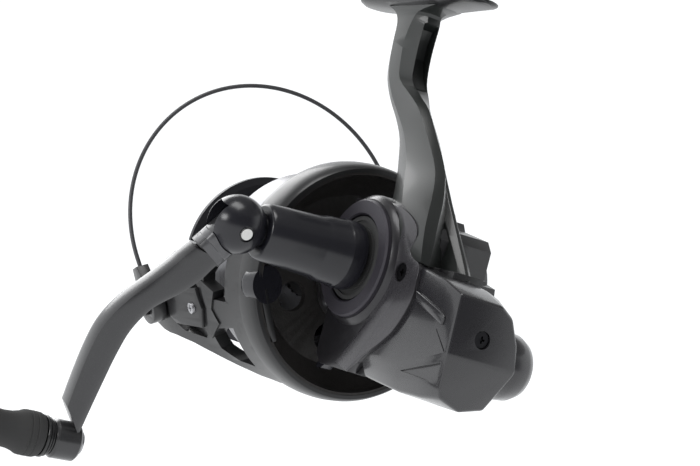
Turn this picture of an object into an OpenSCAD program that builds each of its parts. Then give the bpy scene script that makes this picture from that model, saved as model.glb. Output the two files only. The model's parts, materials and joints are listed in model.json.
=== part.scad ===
// Big-pit spinning reel: gear case with stem and foot, face-gear drive, oscillating
// spool, rotor with bail, front drag and folding crank handle.
// Every module is drawn in shaft coordinates: +X forward along the main shaft,
// +Y to the crank side, +Z up to the rod, with x = 0 on the crank axis.
// seated() then moves the whole reel so that its origin is the middle of the foot's seat.

/* [Foot and stem] */
// Height of the rod seat above the main shaft
seat_z = 97.8; // [97:0.1:99]
// Middle of the foot ahead of the crank axis
foot_x = 25; // [24.5:0.1:25.5]
// Length of the foot
foot_l = 75; // [73:0.5:76]
// Width of the foot
foot_w = 15; // [14:0.5:16]
// Thickness of the foot at its middle
foot_t = 3.4; // [3:0.1:3.8]
// Thickness of the stem from side to side
stem_w = 11; // [10:0.5:12]

/* [Gear case] */
// Crank axis above the main shaft
crank_z = 7.5; // [7.4:0.05:7.6]
// Outer face of the case on the right
case_right = -14; // [-14.5:0.1:-13.8]
// Plane where the case and its side cover meet
case_split = 10; // [9.8:0.1:10.2]
// Outer face of the side cover
cover_left = 14; // [13.8:0.1:14.3]
// Wall thickness of the case and covers
wall = 2.4; // [2:0.1:2.6]
// Front face of the case
case_front = 22; // [21.8:0.1:22.2]

/* [Drive] */
// Radius of the crank shaft
crank_r = 3; // [2.9:0.05:3.1]
// Radius of the tube that carries the drive gear
tube_r = 4.2; // [4.1:0.05:4.3]
// Radius of the drive gear's disc
gear_r = 19; // [18.8:0.1:19.2]
// Teeth on the drive gear
gear_teeth = 37; // [37:1:37]
// Teeth on the pinion
pinion_teeth = 9; // [9:1:9]
// Radius over the pinion's teeth
pinion_tip = 4.2; // [4.1:0.05:4.25]
// Radius at the root of the pinion's teeth
pinion_root = 2.83; // [2.8:0.01:2.86]
// Radius of the pinion's plain journals
journal_r = 4; // [3.9:0.05:4.05]
// Radius of the main shaft
shaft_r = 2; // [1.95:0.01:2.05]
// Tooth module of the two oscillation gears
osc_m = 0.8; // [0.8:0.1:0.8]
// Teeth on the small oscillation gear
osc_small = 14; // [14:1:14]
// Teeth on the large oscillation gear
osc_large = 30; // [30:1:30]
// Large oscillation gear behind the crank axis
osc_x = -15.8; // [-16:0.1:-15.6]
// Radius of the oscillation gear's crank pin circle
osc_throw = 7.6; // [7.2:0.1:7.7]

/* [Rotor and bail] */
// Largest radius of the rotor's rear ring
rotor_r = 40.4; // [40:0.1:41]
// Turn of the rotor about the shaft at rest
rotor_turn = -28.6; // [-30:0.1:-27]
// Bail pivot ahead of the crank axis
bail_x = 76.7; // [76:0.1:77]
// Radius of the bail's half circle
bail_r = 51.6; // [51.4:0.1:52]
// Straight leg between the bail's pivot and its half circle
bail_leg = 16.6; // [16:0.1:17]
// Forward lean of the bail at rest
bail_lean = 18.6; // [16:0.1:20]
// Radius of the bail wire
wire_r = 0.75; // [0.7:0.01:0.9]

/* [Spool and drag] */
// Radius of the spool's skirt
skirt_r = 34.5; // [34:0.1:34.8]
// Back edge of the skirt
skirt_x = 45; // [44.6:0.1:46]
// Radius of the spool's arbor at its back
arbor_r = 26; // [25:0.1:26.5]
// Radius of the front lip
lip_r = 31.1; // [30.5:0.1:31.5]
// Front face of the lip
lip_x = 93.4; // [93:0.1:94]
// Radius of the drag knob
knob_r = 19; // [18:0.5:19.5]

/* [Handle] */
// Turn of the crank about its axis at rest, measured from straight down
crank_turn = 15.9; // [10:0.1:20]
// Middle of the folding ball, out from the shaft
ball_y = 59.7; // [59.5:0.1:60]
// Radius of the ball
ball_r = 9.2; // [9:0.1:9.4]
// Middle of the boss at the end of the arm, out from the shaft
boss_y = 88; // [87.5:0.1:88.5]
// Length of the crank
crank_l = 80.4; // [79:0.1:81]
// Outer end of the grip
grip_end = 136; // [134:0.5:138]

/* [Hidden] */
$fn = 96;

fit = 0.05;        // radial room of a running or screw fit
gap = 0.3;         // room between parts that pass each other
screw_r = 1;       // shank of the small screws
screw_head = 1.9;  // head of the small screws
gear_face = -4.6;  // plane from which the drive gear's teeth stand up
gear_web = -7.1;   // back of the drive gear's disc
tooth_top = -3.05; // tip plane of the drive gear's teeth
mesh_x = [12.4, 17.4];  // stretch of the shaft over which the drive teeth reach
pinion_x = [11, 18.9];  // toothed stretch of the pinion
pinion_end = 45;        // front end of the pinion
osc_y = [6, 9];         // plane of the oscillation gears
osc_gap = osc_m * (osc_small + osc_large) / 2;
osc_z = crank_z - sqrt(osc_gap * osc_gap - osc_x * osc_x);
rod_y = 1.6;
rod_z = [-8.5, -13.5];
osc_turn = atan2(osc_z - crank_z, osc_x);
tail_r = 2.7;           // plain journal behind the pinion's teeth
rod_r = 1.2;
arm_tip_r = 49;         // outer radius of the rotor arms at their tips
seat_t = bail_r - 2.2;  // inner face of the bail's end pieces

// outline of the case under its side cover, in x and z
case_line = [
    [14, 27], [-15, 27], [-27.5, 22], [-29, 20], [-29, 10], [-36, 8.5], [-37, 4], [-36, -2.5],
    [-32, -8], [-25.5, -13], [-19.5, -17.5], [-12.5, -24], [-12, -28], [10, -28], [14, -25]
];
// outline of the front block that carries the pinion
front_line = [[13, 27.5], [case_front, 25.5], [case_front, -21], [17, -27.5], [13, -27.5]];
// web from the back of the case up into the stem
gusset_line = [[14, 25], [6, 36], [-13, 41], [-41, 10], [-41, 6], [-20, 6], [-20, 25]];
// stem between the gusset and the foot
stem_line = [
    [6, 35], [8, 42], [12, 48.5], [17, 55], [23, 62], [28, 69], [29.5, 75], [30, 82], [30.5, 88],
    [33, 92], [38, 94.6], [12, 94.8], [20, 92], [21.5, 88], [22, 82], [21.5, 75], [20, 69.5],
    [13, 66], [6, 61], [-4, 51], [-13, 41]
];

module cyl_x(from, to, r, fn = 96) {
    translate([from, 0, 0]) rotate([0, 90, 0]) cylinder(h = to - from, r = r, $fn = fn);
}

module cyl_y(from, to, r, fn = 96) {
    translate([0, from, 0]) rotate([-90, 0, 0]) cylinder(h = to - from, r = r, $fn = fn);
}

module pipe_x(from, to, r, bore) {
    difference() {
        cyl_x(from, to, r);
        cyl_x(from - 1, to + 1, bore);
    }
}

module pipe_y(from, to, r, bore) {
    difference() {
        cyl_y(from, to, r);
        cyl_y(from - 1, to + 1, bore);
    }
}

// solid of revolution about the X axis from points [x, radius]
module turn_x(points) {
    rotate([0, 90, 0]) rotate_extrude() polygon([for (p = points) [p[1], p[0]]]);
}

// solid of revolution about the Y axis from points [y, radius]
module turn_y(points) {
    rotate([-90, 0, 0]) rotate_extrude() polygon([for (p = points) [p[1], p[0]]]);
}

// plate between two planes across Y, from an outline in x and z
module slab(from, to, points) {
    translate([0, to, 0]) rotate([90, 0, 0]) linear_extrude(to - from) polygon(points);
}

function box_line(x0, x1, z0, z1) = [[x0, z0], [x1, z0], [x1, z1], [x0, z1]];

// countersunk screw along +Y, its head's face at y = 0 and its shank towards -Y
module screw_y(length, head_t = 1.2, head = screw_head, shank = screw_r) {
    difference() {
        union() {
            cyl_y(-head_t, 0, head, 48);
            cyl_y(-length, -head_t, shank, 48);
        }
        for (turn = [0, 90]) {
            rotate([0, turn, 0]) translate([-0.3, -0.8, -1.1]) cube([0.6, 1, 2.2]);
        }
    }
}

module at_crank() {
    translate([0, 0, crank_z]) children();
}

// crank coordinates: the arm hangs down -Z
module in_crank() {
    at_crank() rotate([0, -crank_turn, 0]) children();
}

// rotor coordinates: +Y along the near arm
module in_rotor() {
    rotate([rotor_turn, 0, 0]) children();
}

// bail coordinates: pivots on Y, legs up +Z
module in_bail() {
    in_rotor() translate([bail_x, 0, 0]) rotate([0, bail_lean, 0]) children();
}

module seated() {
    translate([-foot_x, 0, -seat_z]) children();
}

// ---------------------------------------------------------------- case and covers

// places of the screws that go through the case from the right, in x and z
case_screws = [[11.8, 24.8], [-6, -24.9], [-25.4, 18.4]];

module foot() {
    toe = foot_t * 0.45;
    intersection() {
        slab(-foot_w / 2, foot_w / 2, [
            [-foot_l / 2, -toe], [-foot_l / 4, -foot_t], [foot_l / 4, -foot_t], [foot_l / 2, -toe],
            [foot_l / 2, 0], [-foot_l / 2, 0]
        ]);
        translate([0, 0, -foot_t - 1]) linear_extrude(foot_t + 2) union() {
            square([foot_l - foot_w, foot_w], center = true);
            for (side = [-1, 1]) translate([side * (foot_l - foot_w) / 2, 0]) circle(foot_w / 2);
        }
    }
}

// room inside the case, in x and z
gear_room = [
    [12, 24.2], [-14, 24.2], [-24.6, 20], [-27.4, 17], [-27.4, 8.9], [-33.4, 6.6], [-34.2, 3],
    [-33.4, -1.6], [-30, -6], [-23.8, -10.8], [-18, -15], [-12, -21.4], [9, -21.4], [12, -19]
];

module case_solid() {
    slab(case_right, case_split, case_line);
    slab(case_right, case_split - 1.4, front_line);
    slab(-11, 0, [[14, 25], [11, 29.4], [-11, 29.4], [-16, 25]]);
    slab(-stem_w / 2, stem_w / 2, gusset_line);
    slab(-stem_w / 2, stem_w / 2, stem_line);
    slab(-10, 8, [[-30, 6.5], [-45, 5], [-47, 2], [-47, -16.8], [-30, -19.6], [-13, -21.8]]);
    translate([foot_x, 0, seat_z]) foot();
    at_crank() cyl_y(-20, case_right + 1, 14);
}

module case_room() {
    slab(case_right + wall, case_split + 1, gear_room);
    slab(-8, 5.4, [[-41.5, 3], [-41.5, -15.1], [-31, -16.4], [19.3, -16.4], [19.3, 3]]);
    slab(-9, case_split - 4, [[10, 24.2], [14, 24.2], [19.4, 20], [19.4, -17], [10, -21]]);
}

// brackets and bosses that stand inside the case
module case_bosses() {
    for (p = case_screws) translate([p[0], 0, p[1]]) cyl_y(case_right + 1, case_split, 2.6, 48);
    slab(0, case_split - 3, [[5, -22], [8, -22], [8, -3], [5, -3]]);
    intersection() {
        cyl_x(5, 8, 5);
        slab(-4.2, case_split - 3, box_line(4, 9, -6, 5));
    }
    translate([osc_x, 0, osc_z]) cyl_y(case_right + 1.5, -9, 3.2, 48);
}

module body_housing() {
    color("#2b2b2e") difference() {
        union() {
            difference() {
                case_solid();
                case_room();
            }
            case_bosses();
        }
        // drive gear and bearing, crank shaft and the pinion's bearings
        at_crank() cyl_y(-8.8, -2.7, gear_r + 0.4);
        at_crank() cyl_y(-18.5, case_right + 3, 8 + fit);
        at_crank() cyl_y(-21, case_right + 3, 6);
        cyl_x(19, case_front + 1, 7.5 + fit);
        cyl_x(4, 9, 4 + fit);
        for (z = rod_z) translate([0, rod_y, z]) {
            cyl_x(-44, -41, rod_r + fit, 48);
            cyl_x(4, 6.5, rod_r + fit, 48);
        }
        for (p = case_screws) translate([p[0], 0, p[1]]) {
            cyl_y(-15, case_split + 1, screw_r + fit, 48);
            cyl_y(-15, case_right + 1.2, screw_head + fit, 48);
        }
        for (turn = [45 : 90 : 359]) rotate([turn, 0, 0]) translate([0, 0, 12.6]) {
            cyl_x(19, case_front + 1, 0.8 + fit, 48);
        }
        // hollow behind the stem
        slab(-1.6, 1.6, [[-4, 48], [11, 60], [18.5, 66.5], [20, 72], [24, 76], [24, 66], [4, 44]]);
        translate([-48, 2, -7.6]) cyl_x(0, 3.6, 1.2 + fit, 48);
        at_lever() cyl_y(-4, 4, 1.5 + fit, 48);
        at_lever() slab(-2.3, 2.3, [[-3, -4], [12, -4], [12, -1.4], [6, 1.6], [2, 3.2], [-3, 3.2]]);
        translate([osc_x, 0, osc_z]) cyl_y(case_right + 1.2, -5, 1.5 + fit, 48);
    }
}

module side_cover() {
    rim = case_split + 0.05;
    color("#3a3a3e") difference() {
        union() {
            difference() {
                union() {
                    slab(rim, cover_left, case_line);
                    at_crank() turn_y([[rim, 0], [rim, 21], [cover_left, 21], [15.4, 19.6], [15.4, 0]]);
                }
                slab(rim - 1, cover_left - wall, gear_room);
            }
            for (p = case_screws) translate([p[0], 0, p[1]]) cyl_y(rim, cover_left - 1, 1.9, 48);
            at_crank() cyl_y(11.5, cover_left, 10);
        }
        at_crank() cyl_y(rim - 1, cover_left + 3, 8 + fit);
        at_crank() cyl_y(14.8, cover_left + 3, 14);
        translate([-25, cover_left - 1.8, 6.3]) cyl_y(0, 4, 3.1, 48);
        translate([-25, 0, 6.3]) cyl_y(rim - 1, cover_left, screw_r + fit, 48);
        for (p = case_screws) translate([p[0], rim - 1, p[1]]) cyl_y(0, 3.2, screw_r + fit, 48);
    }
}

module rear_cover() {
    left = 13.2;
    color("#232327") difference() {
        union() {
            hull() {
                slab(-left, left, [[-37.3, 8.6], [-37.3, 3], [-58, 1], [-58, 6.6]]);
                slab(-left, left, [[-12.9, -24.6], [-37.3, -8], [-59.6, -12], [-59.4, -14.4]]);
                slab(-8, 8, [[-12.9, -28.8], [-12.9, -24], [-51, -27.6], [-58, -14], [-50, -28]]);
            }
            hull() {
                translate([-41, -13, -13.6]) sphere(8, $fn = 32);
                translate([-50, -13, -13.6]) sphere(7.4, $fn = 32);
            }
        }
        // room for the case and its tail
        slab(-left + 1.6, left - 1.6, [
            [-30, 12], [-37, 6.4], [-54.6, 5], [-54.8, -12], [-50, -18], [-12, -23]
        ]);
        slab(-8, 8, [[-12, -22], [-12, -25.9], [-49, -25.9], [-53, -14], [-50, -10]]);
        slab(case_right - 0.3, case_split + 5, [for (p = case_line) p + [p[0] < -12.4 ? -0.35 : 0, -0.3]]);
        slab(-stem_w / 2 - 0.4, stem_w / 2 + 0.4, [[-30, 12], [-41.5, 10.5], [-41.5, 4], [-30, 4]]);
        translate([-61, 2, -7.6]) cyl_x(0, 3.75, 2.6, 48);
        translate([-61, 2, -7.6]) cyl_x(0, 9, 1.2 + fit, 48);
    }
}

module cover_screws() {
    color("#8a8a90") {
        for (p = case_screws) translate([p[0], case_right + 0.05, p[1]]) {
            rotate([180, 0, 0]) screw_y(25.8, 1.1);
        }
        translate([-25, 13.4, 6.3]) screw_y(3, 1.15, 2.6);
    }
}

module rear_cover_screw() {
    color("#77777c") translate([-58.5, 2, -7.6]) rotate([0, 0, 90]) screw_y(13.9, 1.2, 2.4, 1.2);
}

module bearing_ring() {
    color("#55525c") at_crank() turn_y([
        [15.45, 14.1], [15.45, 19.2], [16.6, 19.2], [17.2, 18.6], [17.2, 14.6], [16.8, 14.1]
    ]);
}

module crank_seal() {
    color("#2a2a2d") at_crank() turn_y([
        [15.55, 4.3], [15.55, 13.6], [16.4, 13.6], [16.4, 12.2], [15.9, 12.2], [15.9, 10.6],
        [16.6, 10.6], [16.6, 8.6], [16, 8.6], [16, 6.6], [17, 6.2], [17, 4.3]
    ]);
}

module ball_bearing_y(from, to, r, bore) {
    mid = (r + bore) / 2;
    at_crank() turn_y([
        [from, bore], [from, bore + 1.1], [from + 0.4, bore + 1.2], [from + 0.4, r - 1.2],
        [from, r - 1.1], [from, r], [to, r], [to, r - 1.1], [to - 0.4, r - 1.2],
        [to - 0.4, mid], [to - 0.4, bore + 1.2], [to, bore + 1.1], [to, bore]
    ]);
}

module left_drive_bearing() {
    color("#b5b5ba") ball_bearing_y(11.6, 14.6, 8, tube_r + fit);
}

module right_drive_bearing() {
    color("#b5b5ba") ball_bearing_y(-18.4, -15.4, 8, tube_r + fit);
}

module right_cap() {
    color("#1f1f22") at_crank() difference() {
        turn_y([[-20.1, 0], [-20.1, 13.2], [-23, 13.2], [-27.5, 12], [-29.6, 9.4], [-30.2, 0]]);
        cyl_y(-24.5, -20, 9);
        for (turn = [0 : 30 : 359]) rotate([0, turn, 0]) translate([14.4, 0, 0]) cyl_y(-31, -21, 2, 32);
    }
}

module pinion_bush() {
    color("#b08d4a") pipe_x(5, 8, 4, tail_r + fit);
}

module pinion_bearing() {
    color("#b5b5ba") turn_x([
        [19.5, journal_r + fit], [19.5, 5.1], [19.9, 5.2], [19.9, 6.4], [19.5, 6.5], [19.5, 7.5],
        [23.2, 7.5], [23.2, 6.5], [22.8, 6.4], [22.8, 5.2], [23.2, 5.1], [23.2, journal_r + fit]
    ]);
}

module clutch_housing() {
    color("#6c6c70") difference() {
        turn_x([
            [case_front + 0.05, 7.7], [case_front + 0.05, 14.4], [24.4, 14.4], [24.4, 11],
            [30.8, 11], [30.8, 6.9], [30.2, 6.9], [30.2, 8.6], [23.9, 8.6], [23.9, 7.7]
        ]);
        for (turn = [45 : 90 : 359]) rotate([turn, 0, 0]) translate([0, 0, 12.6]) {
            cyl_x(21, 26, 0.8 + fit, 48);
        }
    }
}

module clutch_rollers() {
    color("#c8c8cc") for (turn = [0 : 45 : 359]) rotate([turn, 0, 0]) translate([0, 0, 7.32]) {
        cyl_x(24.4, 29.8, 1.15, 32);
    }
}

module clutch_screws() {
    color("#9a9aa0") for (turn = [45 : 90 : 359]) rotate([turn, 0, 0]) translate([24.45, 0, 12.6]) {
        cyl_x(0, 1, 1.4, 32);
        cyl_x(-4.4, 0, 0.8, 32);
    }
}

module slider_rods() {
    color("#c0c0c4") for (z = rod_z) translate([0, rod_y, z]) cyl_x(-43.8, 6.3, rod_r, 48);
}

module osc_axle() {
    color("#c0c0c4") translate([osc_x, 0, osc_z]) {
        cyl_y(case_right + 1.3, -8, 1.5, 48);
    }
}

// the anti-reverse lever turns on a cross pin at the bottom front of the case
module at_lever() {
    translate([11, 7.6, -25]) children();
}

module anti_reverse_lever() {
    color("#1b1b1d") at_lever() {
        cyl_y(-3.4, 1.9, 1.5, 48);
        slab(-1.9, 1.9, [
            [-1.3, -1.3], [0.4, -1.8], [4, -4.6], [7, -5], [7.4, -3.4], [4.6, -2], [1.3, 1.3], [-1.3, 1.3]
        ]);
    }
}

// ---------------------------------------------------------------- drive

module spur_teeth(teeth, m, from, to) {
    root = m * teeth / 2 - 1.1 * m;
    tip = m * teeth / 2 + 0.9 * m;
    pitch = m * teeth / 2;
    half = 360 / teeth / 4 * 0.92;
    points = [for (i = [0 : teeth - 1]) let (a = i * 360 / teeth) each [
        [root * cos(a - 1.5 * half), root * sin(a - 1.5 * half)],
        [pitch * cos(a - half), pitch * sin(a - half)],
        [tip * cos(a - 0.42 * half), tip * sin(a - 0.42 * half)],
        [tip * cos(a + 0.42 * half), tip * sin(a + 0.42 * half)],
        [pitch * cos(a + half), pitch * sin(a + half)],
        [root * cos(a + 1.5 * half), root * sin(a + 1.5 * half)]
    ]];
    slab(from, to, points);
}

module drive_gear() {
    color("#a8a8ac") at_crank() difference() {
        union() {
            cyl_y(-17.6, -11, tube_r);
            cyl_y(-11, gear_web, 7.2);
            turn_y([
                [gear_web, 0], [gear_web, gear_r], [gear_face, gear_r], [gear_face, 14.2],
                [-6, 14], [-6, 0]
            ]);
            cyl_y(-6.2, 13.9, tube_r);
            rotate([0, 180 / osc_small - osc_turn, 0]) {
                spur_teeth(osc_small, osc_m, osc_y[0], osc_y[1]);
            }
            for (i = [0 : gear_teeth - 1]) rotate([0, i * 360 / gear_teeth, 0]) {
                slab(gear_face - 0.5, tooth_top,
                    box_line(mesh_x[0], mesh_x[1], -crank_z - 0.38, -crank_z + 0.38));
            }
        }
        cyl_y(-19, 15, crank_r + fit);
    }
}

module crank_shaft() {
    color("#9c9ca2") at_crank() {
        cyl_y(-19.6, 44, crank_r);
        cyl_y(13.95, 17.6, 4.1);
    }
}

// half the angle that a pinion tooth takes up at its root, middle and tip
tooth_half = [[pinion_root, 9.5], [3.6, 5.7], [pinion_tip, 2.7]];

module pinion_gear() {
    teeth = [for (i = [0 : pinion_teeth - 1]) let (a = (i + 0.5) * 360 / pinion_teeth) each concat(
        [for (h = tooth_half) h[0] * [cos(a - h[1]), sin(a - h[1])]],
        [for (k = [2 : -1 : 0]) tooth_half[k][0] * [cos(a + tooth_half[k][1]), sin(a + tooth_half[k][1])]]
    )];
    color("#c2a35a") difference() {
        union() {
            cyl_x(5.2, pinion_x[0] + 0.5, tail_r);
            translate([pinion_x[0], 0, 0]) rotate([180, 0, 0]) rotate([90, 0, 90]) {
                linear_extrude(pinion_x[1] - pinion_x[0] + 0.1) polygon(teeth);
            }
            cyl_x(pinion_x[1], pinion_end, journal_r);
        }
        cyl_x(0, pinion_end + 1, shaft_r + 0.1);
    }
}

module clutch_sleeve() {
    color("#b8b8bc") pipe_x(23.4, 30.9, 6.1, journal_r + 0.02);
}

module osc_gear() {
    color("#b9a06a") translate([osc_x, 0, osc_z]) difference() {
        union() {
            rotate([0, 180 - osc_turn, 0]) spur_teeth(osc_large, osc_m, osc_y[0], osc_y[1]);
            cyl_y(osc_y[1] - 0.1, 10.6, 3);
            translate([0, 0, -osc_throw]) cyl_y(4.5, osc_y[0] + 0.2, 1.6, 48);
        }
        cyl_y(osc_y[0] - 1, 11, 1.5 + fit);
    }
}

// ---------------------------------------------------------------- rotor and bail

// outlines of the two rotor arms seen along the bail's pivots, in x and across the arm
near_line = [
    [26, -26], [34, -26], [52, -18.5], [68, -12.5], [80, -10.5], [85, -7.5], [88, 0],
    [85, 7.5], [80, 10.5], [68, 12.5], [52, 18.5], [34, 26], [26, 26]
];
far_line = [
    [26, -26], [34, -26], [52, -16], [64, -8.6], [bail_x, -8.4], [bail_x, 8.4], [64, 8.6],
    [52, 16], [34, 26], [26, 26]
];
// wall of the arms, [x, outer radius], and its thickness
arm_wall = [[27, rotor_r], [36, 41], [50, 43.4], [64, 46.6], [76, arm_tip_r], [89, arm_tip_r]];
arm_t = 4.4;

module arm_shell() {
    outer = arm_wall;
    inner = [for (i = [len(arm_wall) - 1 : -1 : 0]) arm_wall[i] - [0, arm_t]];
    turn_x(concat(outer, inner));
}

module near_arm() {
    intersection() {
        arm_shell();
        slab(20, 60, near_line);
    }
}

// the far arm ends in a round eye, which the line roller swings past
module far_arm() {
    intersection() {
        arm_shell();
        union() {
            slab(20, 60, far_line);
            translate([bail_x, 0, 0]) cyl_y(20, 60, 8.4);
        }
    }
}

module rotor_frame() {
    color("#6f6f73") in_rotor() difference() {
        union() {
            turn_x([
                [20, 36.4], [20, 38.9], [23, 39.9], [27, rotor_r], [33, 40.3], [36, 38.9], [36, 36.2],
                [34, 35.4], [34, 7.5], [40, 7.5], [40, journal_r + fit], [31.4, journal_r + fit],
                [31.4, 29], [28, 31.4], [23, 35.6]
            ]);
            near_arm();
            rotate([180, 0, 0]) far_arm();
        }
        // windows through both arms
        for (side = [0, 180]) rotate([side, 0, 0]) {
            slab(34, 60, [[38, 3], [52, 4], [52, 13], [46, 18], [38, 20]]);
            slab(34, 60, [[38, -20], [44, -19], [52, -13], [50, -6], [38, -5]]);
            translate([bail_x, 0, 0]) cyl_y(40, 60, 2 + fit, 48);
            translate([cover_screw_x, 0, 0]) cyl_y(38, 60, screw_r + fit, 48);
        }
        // pocket for the bail spring in the far arm
        rotate([180, 0, 0]) slab(44.4, 60, box_line(60.2, 69, -4.4, 4.4));
        // windows in the web
        for (turn = [0 : 60 : 359]) rotate([turn + 30, 0, 0]) translate([30, 0, 20]) cyl_x(0, 6, 5);
    }
}

module rotor_nut() {
    color("#b08d4a") difference() {
        cyl_x(40.05, 43.4, 8, 6);
        cyl_x(39, 45, journal_r + 0.02);
    }
}

// thin cover that follows the outside of an arm
module arm_cover(points) {
    intersection() {
        turn_x(concat(
            [for (p = arm_wall) p + [0, 1.3]],
            [for (i = [len(arm_wall) - 1 : -1 : 0]) arm_wall[i] + [0, 0.05]]
        ));
        slab(20, 60, points);
    }
}

near_cover_line = [[53, -7], [67, -6.4], [69.6, -4], [69.6, 4], [67, 6.4], [53, 7], [50.6, 0]];
far_cover_line = [[53.4, -6.6], [69.6, -6.2], [69.6, 6.2], [53.4, 6.6], [51.6, 0]];
cover_screw_x = 56;
cover_seat = 45.7;  // where the heads of the cover screws rest

module near_arm_cover() {
    color("#2e2e31") in_rotor() difference() {
        arm_cover(near_cover_line);
        translate([cover_screw_x, 0, 0]) cyl_y(40, 60, screw_r + fit, 48);
        translate([cover_screw_x, 0, 0]) cyl_y(cover_seat, 60, screw_head + fit, 48);
    }
}

module far_arm_cover() {
    color("#2e2e31") in_rotor() rotate([180, 0, 0]) difference() {
        arm_cover(far_cover_line);
        translate([cover_screw_x, 0, 0]) cyl_y(40, 60, screw_r + fit, 48);
        translate([cover_screw_x, 0, 0]) cyl_y(cover_seat, 60, screw_head + fit, 48);
    }
}

module arm_cover_screws() {
    color("#8a8a90") in_rotor() for (side = [0, 180]) rotate([side, 0, 0]) {
        translate([cover_screw_x, cover_seat + 0.95, 0]) screw_y(3.6, 0.9);
    }
}

module bail_spring() {
    color("#c8c8cc") in_rotor() rotate([180, 0, 0]) translate([64.6, 44.5, 0]) {
        rotate([-90, 0, 0]) coil(1.3, 3.2, 0.35, 2);
    }
}

module bail_pivot_screws() {
    color("#8a8a90") in_rotor() for (side = [0, 180]) rotate([side, 0, 0]) {
        translate([bail_x, 55.4, 0]) screw_y(11.6, 1.3, 3, 2);
    }
}

module bail_wire() {
    color("#3a3a3c") in_bail() {
        translate([0, 0, bail_leg]) rotate([90, 0, 90]) rotate_extrude(angle = 177.6) {
            translate([bail_r, 0]) circle(wire_r, $fn = 32);
        }
        translate([0, bail_r, sleeve_z]) cylinder(h = bail_leg - sleeve_z, r = wire_r, $fn = 32);
    }
}

sleeve_z = 14;  // where the wire leaves the near end piece

// end piece of the bail on the near arm: an ear on the pivot and a sleeve for the wire
module bail_holder() {
    color("#2a2a2c") in_bail() difference() {
        union() {
            cyl_y(seat_t, bail_r + 2.5, 6.4);
            slab(seat_t, bail_r + 2.2, [
                [-4.4, 4], [4.4, 4], [2.2, sleeve_z - 0.05], [-2.2, sleeve_z - 0.05]
            ]);
        }
        cyl_y(seat_t - 1, bail_r + 4, 2 + fit, 48);
        cyl_y(bail_r + 2.3, bail_r + 4, 3 + gap, 48);
    }
}

roller_z = 13.6;  // line roller out along the bail's leg

module roller_arm() {
    color("#2a2a2c") in_bail() difference() {
        union() {
            cyl_y(-bail_r - 2.5, -seat_t, 6.4);
            slab(-bail_r - 2.2, -seat_t, [
                [-5, 3], [5, 3], [4.4, 15.8], [2, 18.4], [-2, 18.4], [-4.4, 15.8]
            ]);
        }
        cyl_y(-bail_r - 4, -seat_t + 1, 2 + fit, 48);
        cyl_y(-bail_r - 4, -bail_r - 2.3, 3 + gap, 48);
        translate([0, 0, roller_z]) cyl_y(-bail_r - 4, -seat_t + 1, 1.5 + fit, 48);
    }
}

module roller_screw() {
    color("#8a8a90") in_bail() translate([0, 0, roller_z]) {
        cyl_y(-bail_r - 3.4, -bail_r - 2.25, 2.6, 48);
        cyl_y(-bail_r - 2.25, -bail_r + 10.2, 1.5, 48);
        cyl_y(-bail_r + 10.2, -bail_r + 11.4, 3.2, 48);
    }
}

module line_roller() {
    color("#c9b063") in_bail() translate([0, 0, roller_z]) difference() {
        turn_y([
            [-bail_r + 2.6, 0], [-bail_r + 2.6, 4.2], [-bail_r + 4.4, 4.2], [-bail_r + 6, 3.2],
            [-bail_r + 8, 3.6], [-bail_r + 9.9, 4.4], [-bail_r + 9.9, 0]
        ]);
        cyl_y(-bail_r, -bail_r + 12, 1.5 + fit, 48);
    }
}

// ---------------------------------------------------------------- spool and shaft

module main_shaft() {
    color("#c4c4c8") cyl_x(-26, 99, shaft_r);
}

module cross_slider() {
    top = osc_z + osc_throw + 2;
    color("#b59a58") difference() {
        union() {
            slab(-2.7, 4.1, box_line(osc_x - 4, osc_x + 4, -16, 2.8));
            slab(-2.7, 4.1, box_line(osc_x - 3.3, osc_x + 3.3, 2, top));
        }
        cyl_x(osc_x - 6, osc_x + 6, shaft_r + 0.02);
        for (z = rod_z) translate([0, rod_y, z]) cyl_x(osc_x - 6, osc_x + 6, rod_r + 0.08, 48);
        slab(2.9, 5, box_line(osc_x - 1.8, osc_x + 1.8, osc_z - osc_throw - 2, top + 1));
    }
}

module slider_screws() {
    color("#8a8a90") for (side = [-1, 1]) translate([osc_x + side * 2.4, 4.12, -11]) {
        cyl_y(0, 0.6, 1.05, 32);
    }
}

module click_gear() {
    color("#d8d8da") difference() {
        cyl_x(56.4, 58, 9, 48);
        cyl_x(55, 60, shaft_r + 0.02);
        for (a = [0 : 15 : 359]) rotate([a, 0, 0]) translate([0, 0, 9.4]) cyl_x(55, 60, 0.8, 24);
    }
}

module spool_washers() {
    color("#e2e2e4") for (x = [58.1, 59.3]) pipe_x(x, x + 1, 6, shaft_r + 0.02);
}

module spool() {
    color("#8c8c90") turn_x([
        [60.2, arbor_r], [90, arbor_r - 1.6], [90, 17.2], [70, 17.2], [70, shaft_r + fit],
        [60.6, shaft_r + fit], [60.6, 7], [66.5, 7], [68, 19], [87.5, 19],
        [87.5, arbor_r - 3.4], [60.2, arbor_r - 1.8]
    ]);
}

module spool_skirt() {
    color("#7c7c80") turn_x([
        [skirt_x, skirt_r - 1.8], [skirt_x, skirt_r], [60, skirt_r], [62, skirt_r - 1],
        [62, arbor_r + fit], [60.2, arbor_r + fit], [60.2, skirt_r - 1.8]
    ]);
}

module spool_lip() {
    color("#1c1c1e") turn_x([
        [90.04, 17.3], [90.04, 28.6], [90.9, lip_r], [lip_x - 0.8, lip_r], [lip_x, lip_r - 0.9],
        [lip_x, 26], [92, 22], [92, 17.3]
    ]);
}

module drag_washers() {
    color("#9a8f86") for (i = [0 : 3]) {
        pipe_x(70.1 + i * 1.7, 71.6 + i * 1.7, i % 2 == 0 ? 16.8 : 15.6, shaft_r + fit);
    }
}

module washer_clip() {
    color("#c8c8cc") pipe_x(77, 77.8, 17.1, 15);
}

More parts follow.
